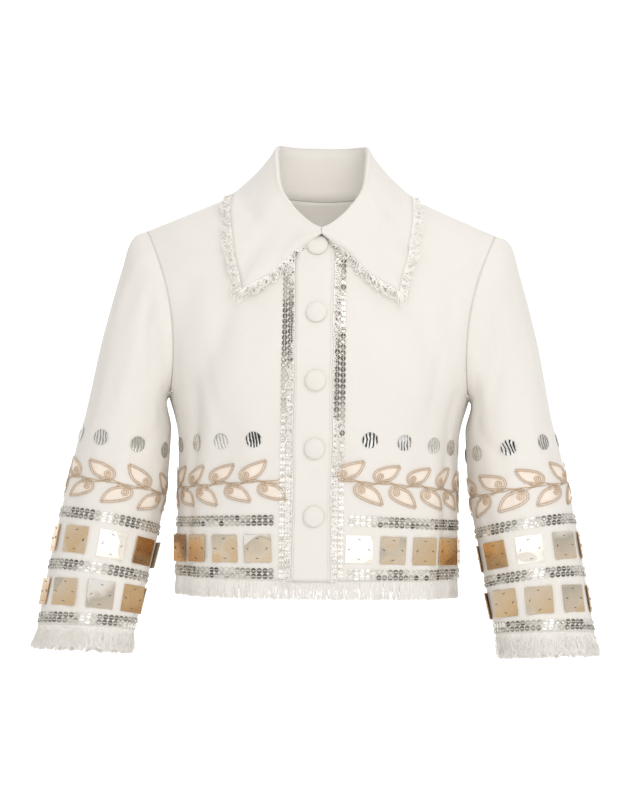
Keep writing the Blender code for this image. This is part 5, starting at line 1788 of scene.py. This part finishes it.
def running_stitches(name, line, out, finish):
    """Row of short stitches along a line on the cloth."""
    along = arc_lengths(line)
    starts = np.arange(0.5 * MM, along[-1] - STITCH_LONG * MM, STITCH_STEP * MM)
    t = np.linspace(0, 1, 4)
    places = starts[:, None] + t[None] * STITCH_LONG * MM
    paths = np.stack([np.interp(places, along, line[:, axis]) for axis in range(3)], axis=-1)
    ways = np.stack([np.interp(places, along, out[:, axis]) for axis in range(3)], axis=-1)
    paths = paths + unit(ways) * (np.sin(t * math.pi) * 0.35 * MM)[None, :, None]
    points, faces, uv = strands(paths, ways, STITCH_RADIUS * MM, 4)
    sewn(name, points, faces, finish, uv=uv)


class JACKET_OT_stitching(bpy.types.Operator):
    """Running stitches above the fringes and along the button band"""

    bl_idname = "jacket.stitching"
    bl_label = "Stitching"

    def execute(self, context):
        _, colours = sizes_and_colours(context)
        finish = cord_finish("ivory_stitch", shade(colours.cloth, 0.93))
        form = Form.get()
        distance = np.arange(0.0, form.body.length, 2.0 * MM)
        running_stitches("hem_stitches", *form.body.spots(distance, 0.0, 1.6 * MM), finish)
        for piece, belt in form.arms.items():
            distance = np.linspace(0.0, belt.length - 1e-5, 160)
            running_stitches(f"cuff_stitches_{piece}", *belt.spots(distance, 0.0, 1.6 * MM), finish)
        out = Cloth.find_normals(form.band)
        out = out * np.where(out[..., 1:2] > 0, -1, 1)
        for side, column in (("right", 1), ("left", BAND_COLUMNS - 1)):
            running_stitches(f"band_stitches_{side}", form.band[:, column], out[:, column], finish)
        return {"FINISHED"}


class JACKET_OT_fraying(bpy.types.Operator):
    """Frayed threads at hem, cuffs, collar and button band"""

    bl_idname = "jacket.fraying"
    bl_label = "Fraying"

    def execute(self, context):
        sizes, colours = sizes_and_colours(context)
        finish = thread_finish(colours)
        form = Form.get()
        distance = np.arange(0.0, form.body.length, 2.0 * MM)
        line, normals = form.body.spots(distance, 0.0)
        down = np.tile((0.0, 0.0, -1.0), (len(line), 1))
        fray("hem_threads", line - normals * 0.8 * MM, normals, down, sizes.hem_fray, HEM_FRAY, sizes,
             finish, "hem_fringe")
        for piece, belt in form.arms.items():
            distance = np.linspace(0.0, belt.length - 1e-5, 160)
            line, normals = belt.spots(distance, 0.0)
            above, _ = belt.spots(distance, 1.0)
            down = np.tile(unit((line - above).mean(axis=0)), (len(line), 1))
            side = piece.split("_")[1]
            fray(f"cuff_threads_{side}", line - normals * 0.8 * MM, normals, down, sizes.cuff_fray, CUFF_FRAY,
                 sizes, finish, f"cuff_fringe_{side}")
        tree = body_tree()
        self.collar(form, sizes, finish, tree)
        self.band(form, sizes, finish, tree)
        return {"FINISHED"}

    @staticmethod
    def collar(form, sizes, finish, tree):
        edge, inward = form.fall[-1], form.fall[-3]
        across = unit(np.gradient(edge, axis=0))
        facing = unit(np.cross(across, edge - inward))
        outward = np.sum(facing * (edge - COLLAR_MIDDLE), axis=1, keepdims=True)
        facing = np.where(outward < 0, -facing, facing)
        away = unit(np.cross(facing, across))
        toward = np.sum(away * (inward - edge), axis=1, keepdims=True)
        away = np.where(toward > 0, -away, away)
        smoothed = np.array([away[max(i - 3, 0) : i + 4].mean(axis=0) for i in range(len(away))])
        fray("collar_threads", edge - facing * 0.25 * MM, facing, unit(smoothed),
             sizes.edge_fray * COLLAR_FRAY_LONGER, COLLAR_FRAY, sizes, finish, "collar_fringe", tree)

    @staticmethod
    def band(form, sizes, finish, tree):
        rows = slice(0, (CENTRE_TOP - 1) * ROW_SPLIT)
        for side, column, beside in (("left", -1, -2), ("right", 0, 1)):
            edge = form.band[rows, column]
            away = unit(edge - form.band[rows, beside])
            facing = np.tile((0.0, -1.0, 0.0), (len(edge), 1))
            height = arc_lengths(edge)
            low, high = SHORT_FRAY[side]
            inside = np.clip(np.minimum(height - low, high - height) / SHORT_FRAY_FADE, 0, 1)
            fray(f"band_threads_{side}", edge - facing * 0.5 * MM, facing, away,
                 sizes.edge_fray * BAND_FRAY_LONGER, BAND_FRAY, sizes, finish, f"placket_fringe_{side}", tree,
                 1 - (1 - SHORT_FRAY_SHARE) * inside)


class JACKET_OT_stage(bpy.types.Operator):
    """Pale floor, soft studio light and the camera"""

    bl_idname = "jacket.stage"
    bl_label = "Stage"

    floor_z = -0.95
    camera_distance = 3.5
    camera_height = -0.2288
    camera_x = 0.0010
    roll_degrees = -0.8
    seen_height = 0.880

    def execute(self, context):
        scene = context.scene
        self.floor()
        self.lights()
        self.camera(scene)
        scene.view_settings.view_transform = "Standard"
        scene.view_settings.look = "None"
        return {"FINISHED"}

    def floor(self):
        """Floor that bends up into a wall behind the jacket."""
        finish = Finish("pale_paper", (0.93, 0.93, 0.925), 0.9)
        grain = finish.noise(3.0, 3.0)
        finish.feed("Base Color", finish.mixed(grain, (0.92, 0.92, 0.915), (0.94, 0.94, 0.935)))
        profile = [(-9.0, 0.0), (5.0, 0.0)]
        for angle in np.linspace(0, math.pi / 2, 16)[1:]:
            profile.append((5.0 + 2.0 * math.sin(angle), 2.0 - 2.0 * math.cos(angle)))
        profile += [(7.0, 8.0)]
        points = [[(x, y, self.floor_z + z) for x in (-11.0, 11.0)] for y, z in profile]
        mesh = bpy.data.meshes.new("backdrop")
        faces = grid_faces(len(profile), 2, flip=True)
        mesh.from_pydata(np.array(points).reshape(-1, 3).tolist(), [], faces.tolist())
        mesh.shade_smooth()
        mesh.materials.append(finish.material)
        floor = bpy.data.objects.new("backdrop", mesh)
        bpy.context.scene.collection.objects.link(floor)

    @staticmethod
    def lamp(name, kind, size, power, place):
        """One lamp of a given kind, size and power at a place."""
        data = bpy.data.lights.new(name, kind)
        setattr(data, "size" if kind == "AREA" else "shadow_soft_size", size)
        data.energy = power
        lit = bpy.data.objects.new(name, data)
        bpy.context.scene.collection.objects.link(lit)
        lit.location = place
        return lit

    def lights(self):
        """Large soft lamps and a pale surround."""
        world = bpy.data.worlds.new("studio")
        world.use_nodes = True
        bpy.context.scene.world = world
        surround = world.node_tree.nodes["Background"].inputs
        surround["Color"].default_value = (1.0, 0.99, 0.975, 1.0)
        surround["Strength"].default_value = 0.72
        aim = Vector((0, 0, -0.25))
        for name, place, size, power in (
            ("key", (1.15, -2.5, 1.5), 1.5, 22.0), ("front", (-0.1, -3.9, 0.5), 3.2, 31.5),
            ("top", (0.2, 0.3, 2.3), 1.4, 8.0),
        ):
            lit = self.lamp(name, "AREA", size, power, place)
            lit.visible_glossy = name != "front"
            lit.rotation_euler = (aim - Vector(place)).to_track_quat("-Z", "Y").to_euler()
        self.lamp("inside", "POINT", 0.04, 0.09, (0, -0.02, -0.09))
        wall = self.lamp("wall", "AREA", 4.0, 240.0, (0, 2.6, 3.4))
        wall.rotation_euler = (math.radians(52), 0, 0)

    def camera(self, scene):
        data = bpy.data.cameras.new("camera")
        data.sensor_fit = "VERTICAL"
        data.sensor_height = 36.0
        data.lens = 36.0 * self.camera_distance / self.seen_height
        seen = bpy.data.objects.new("camera", data)
        scene.collection.objects.link(seen)
        seen.location = (self.camera_x, -self.camera_distance, self.camera_height)
        seen.rotation_euler = (math.pi / 2, math.radians(self.roll_degrees), 0.0)
        scene.camera = seen


class JACKET_PT_panel(bpy.types.Panel):
    """Steps that build the jacket"""

    bl_idname = "JACKET_PT_panel"
    bl_label = "Jacket"
    bl_space_type = "VIEW_3D"
    bl_region_type = "UI"
    bl_category = "Jacket"

    def draw(self, context):
        for operator in OPERATORS:
            self.layout.operator(operator.bl_idname)


OPERATORS = (
    JACKET_OT_body, JACKET_OT_sleeves, JACKET_OT_band, JACKET_OT_collar, JACKET_OT_buttons,
    JACKET_OT_plates, JACKET_OT_discs, JACKET_OT_sequins, JACKET_OT_vine, JACKET_OT_stitching,
    JACKET_OT_fraying, JACKET_OT_stage,
)
CLASSES = (JacketSizes, JacketColours, *OPERATORS, JACKET_PT_panel)


def register():
    for made in CLASSES:
        bpy.utils.register_class(made)
    bpy.types.Scene.jacket_sizes = PointerProperty(type=JacketSizes)
    bpy.types.Scene.jacket_colours = PointerProperty(type=JacketColours)


def unregister():
    del bpy.types.Scene.jacket_colours
    del bpy.types.Scene.jacket_sizes
    for made in reversed(CLASSES):
        bpy.utils.unregister_class(made)


def main():
    """Build the jacket step by step."""
    register()
    for operator in OPERATORS:
        group, name = operator.bl_idname.split(".")
        getattr(getattr(bpy.ops, group), name)()


if __name__ == "__main__":
    main()
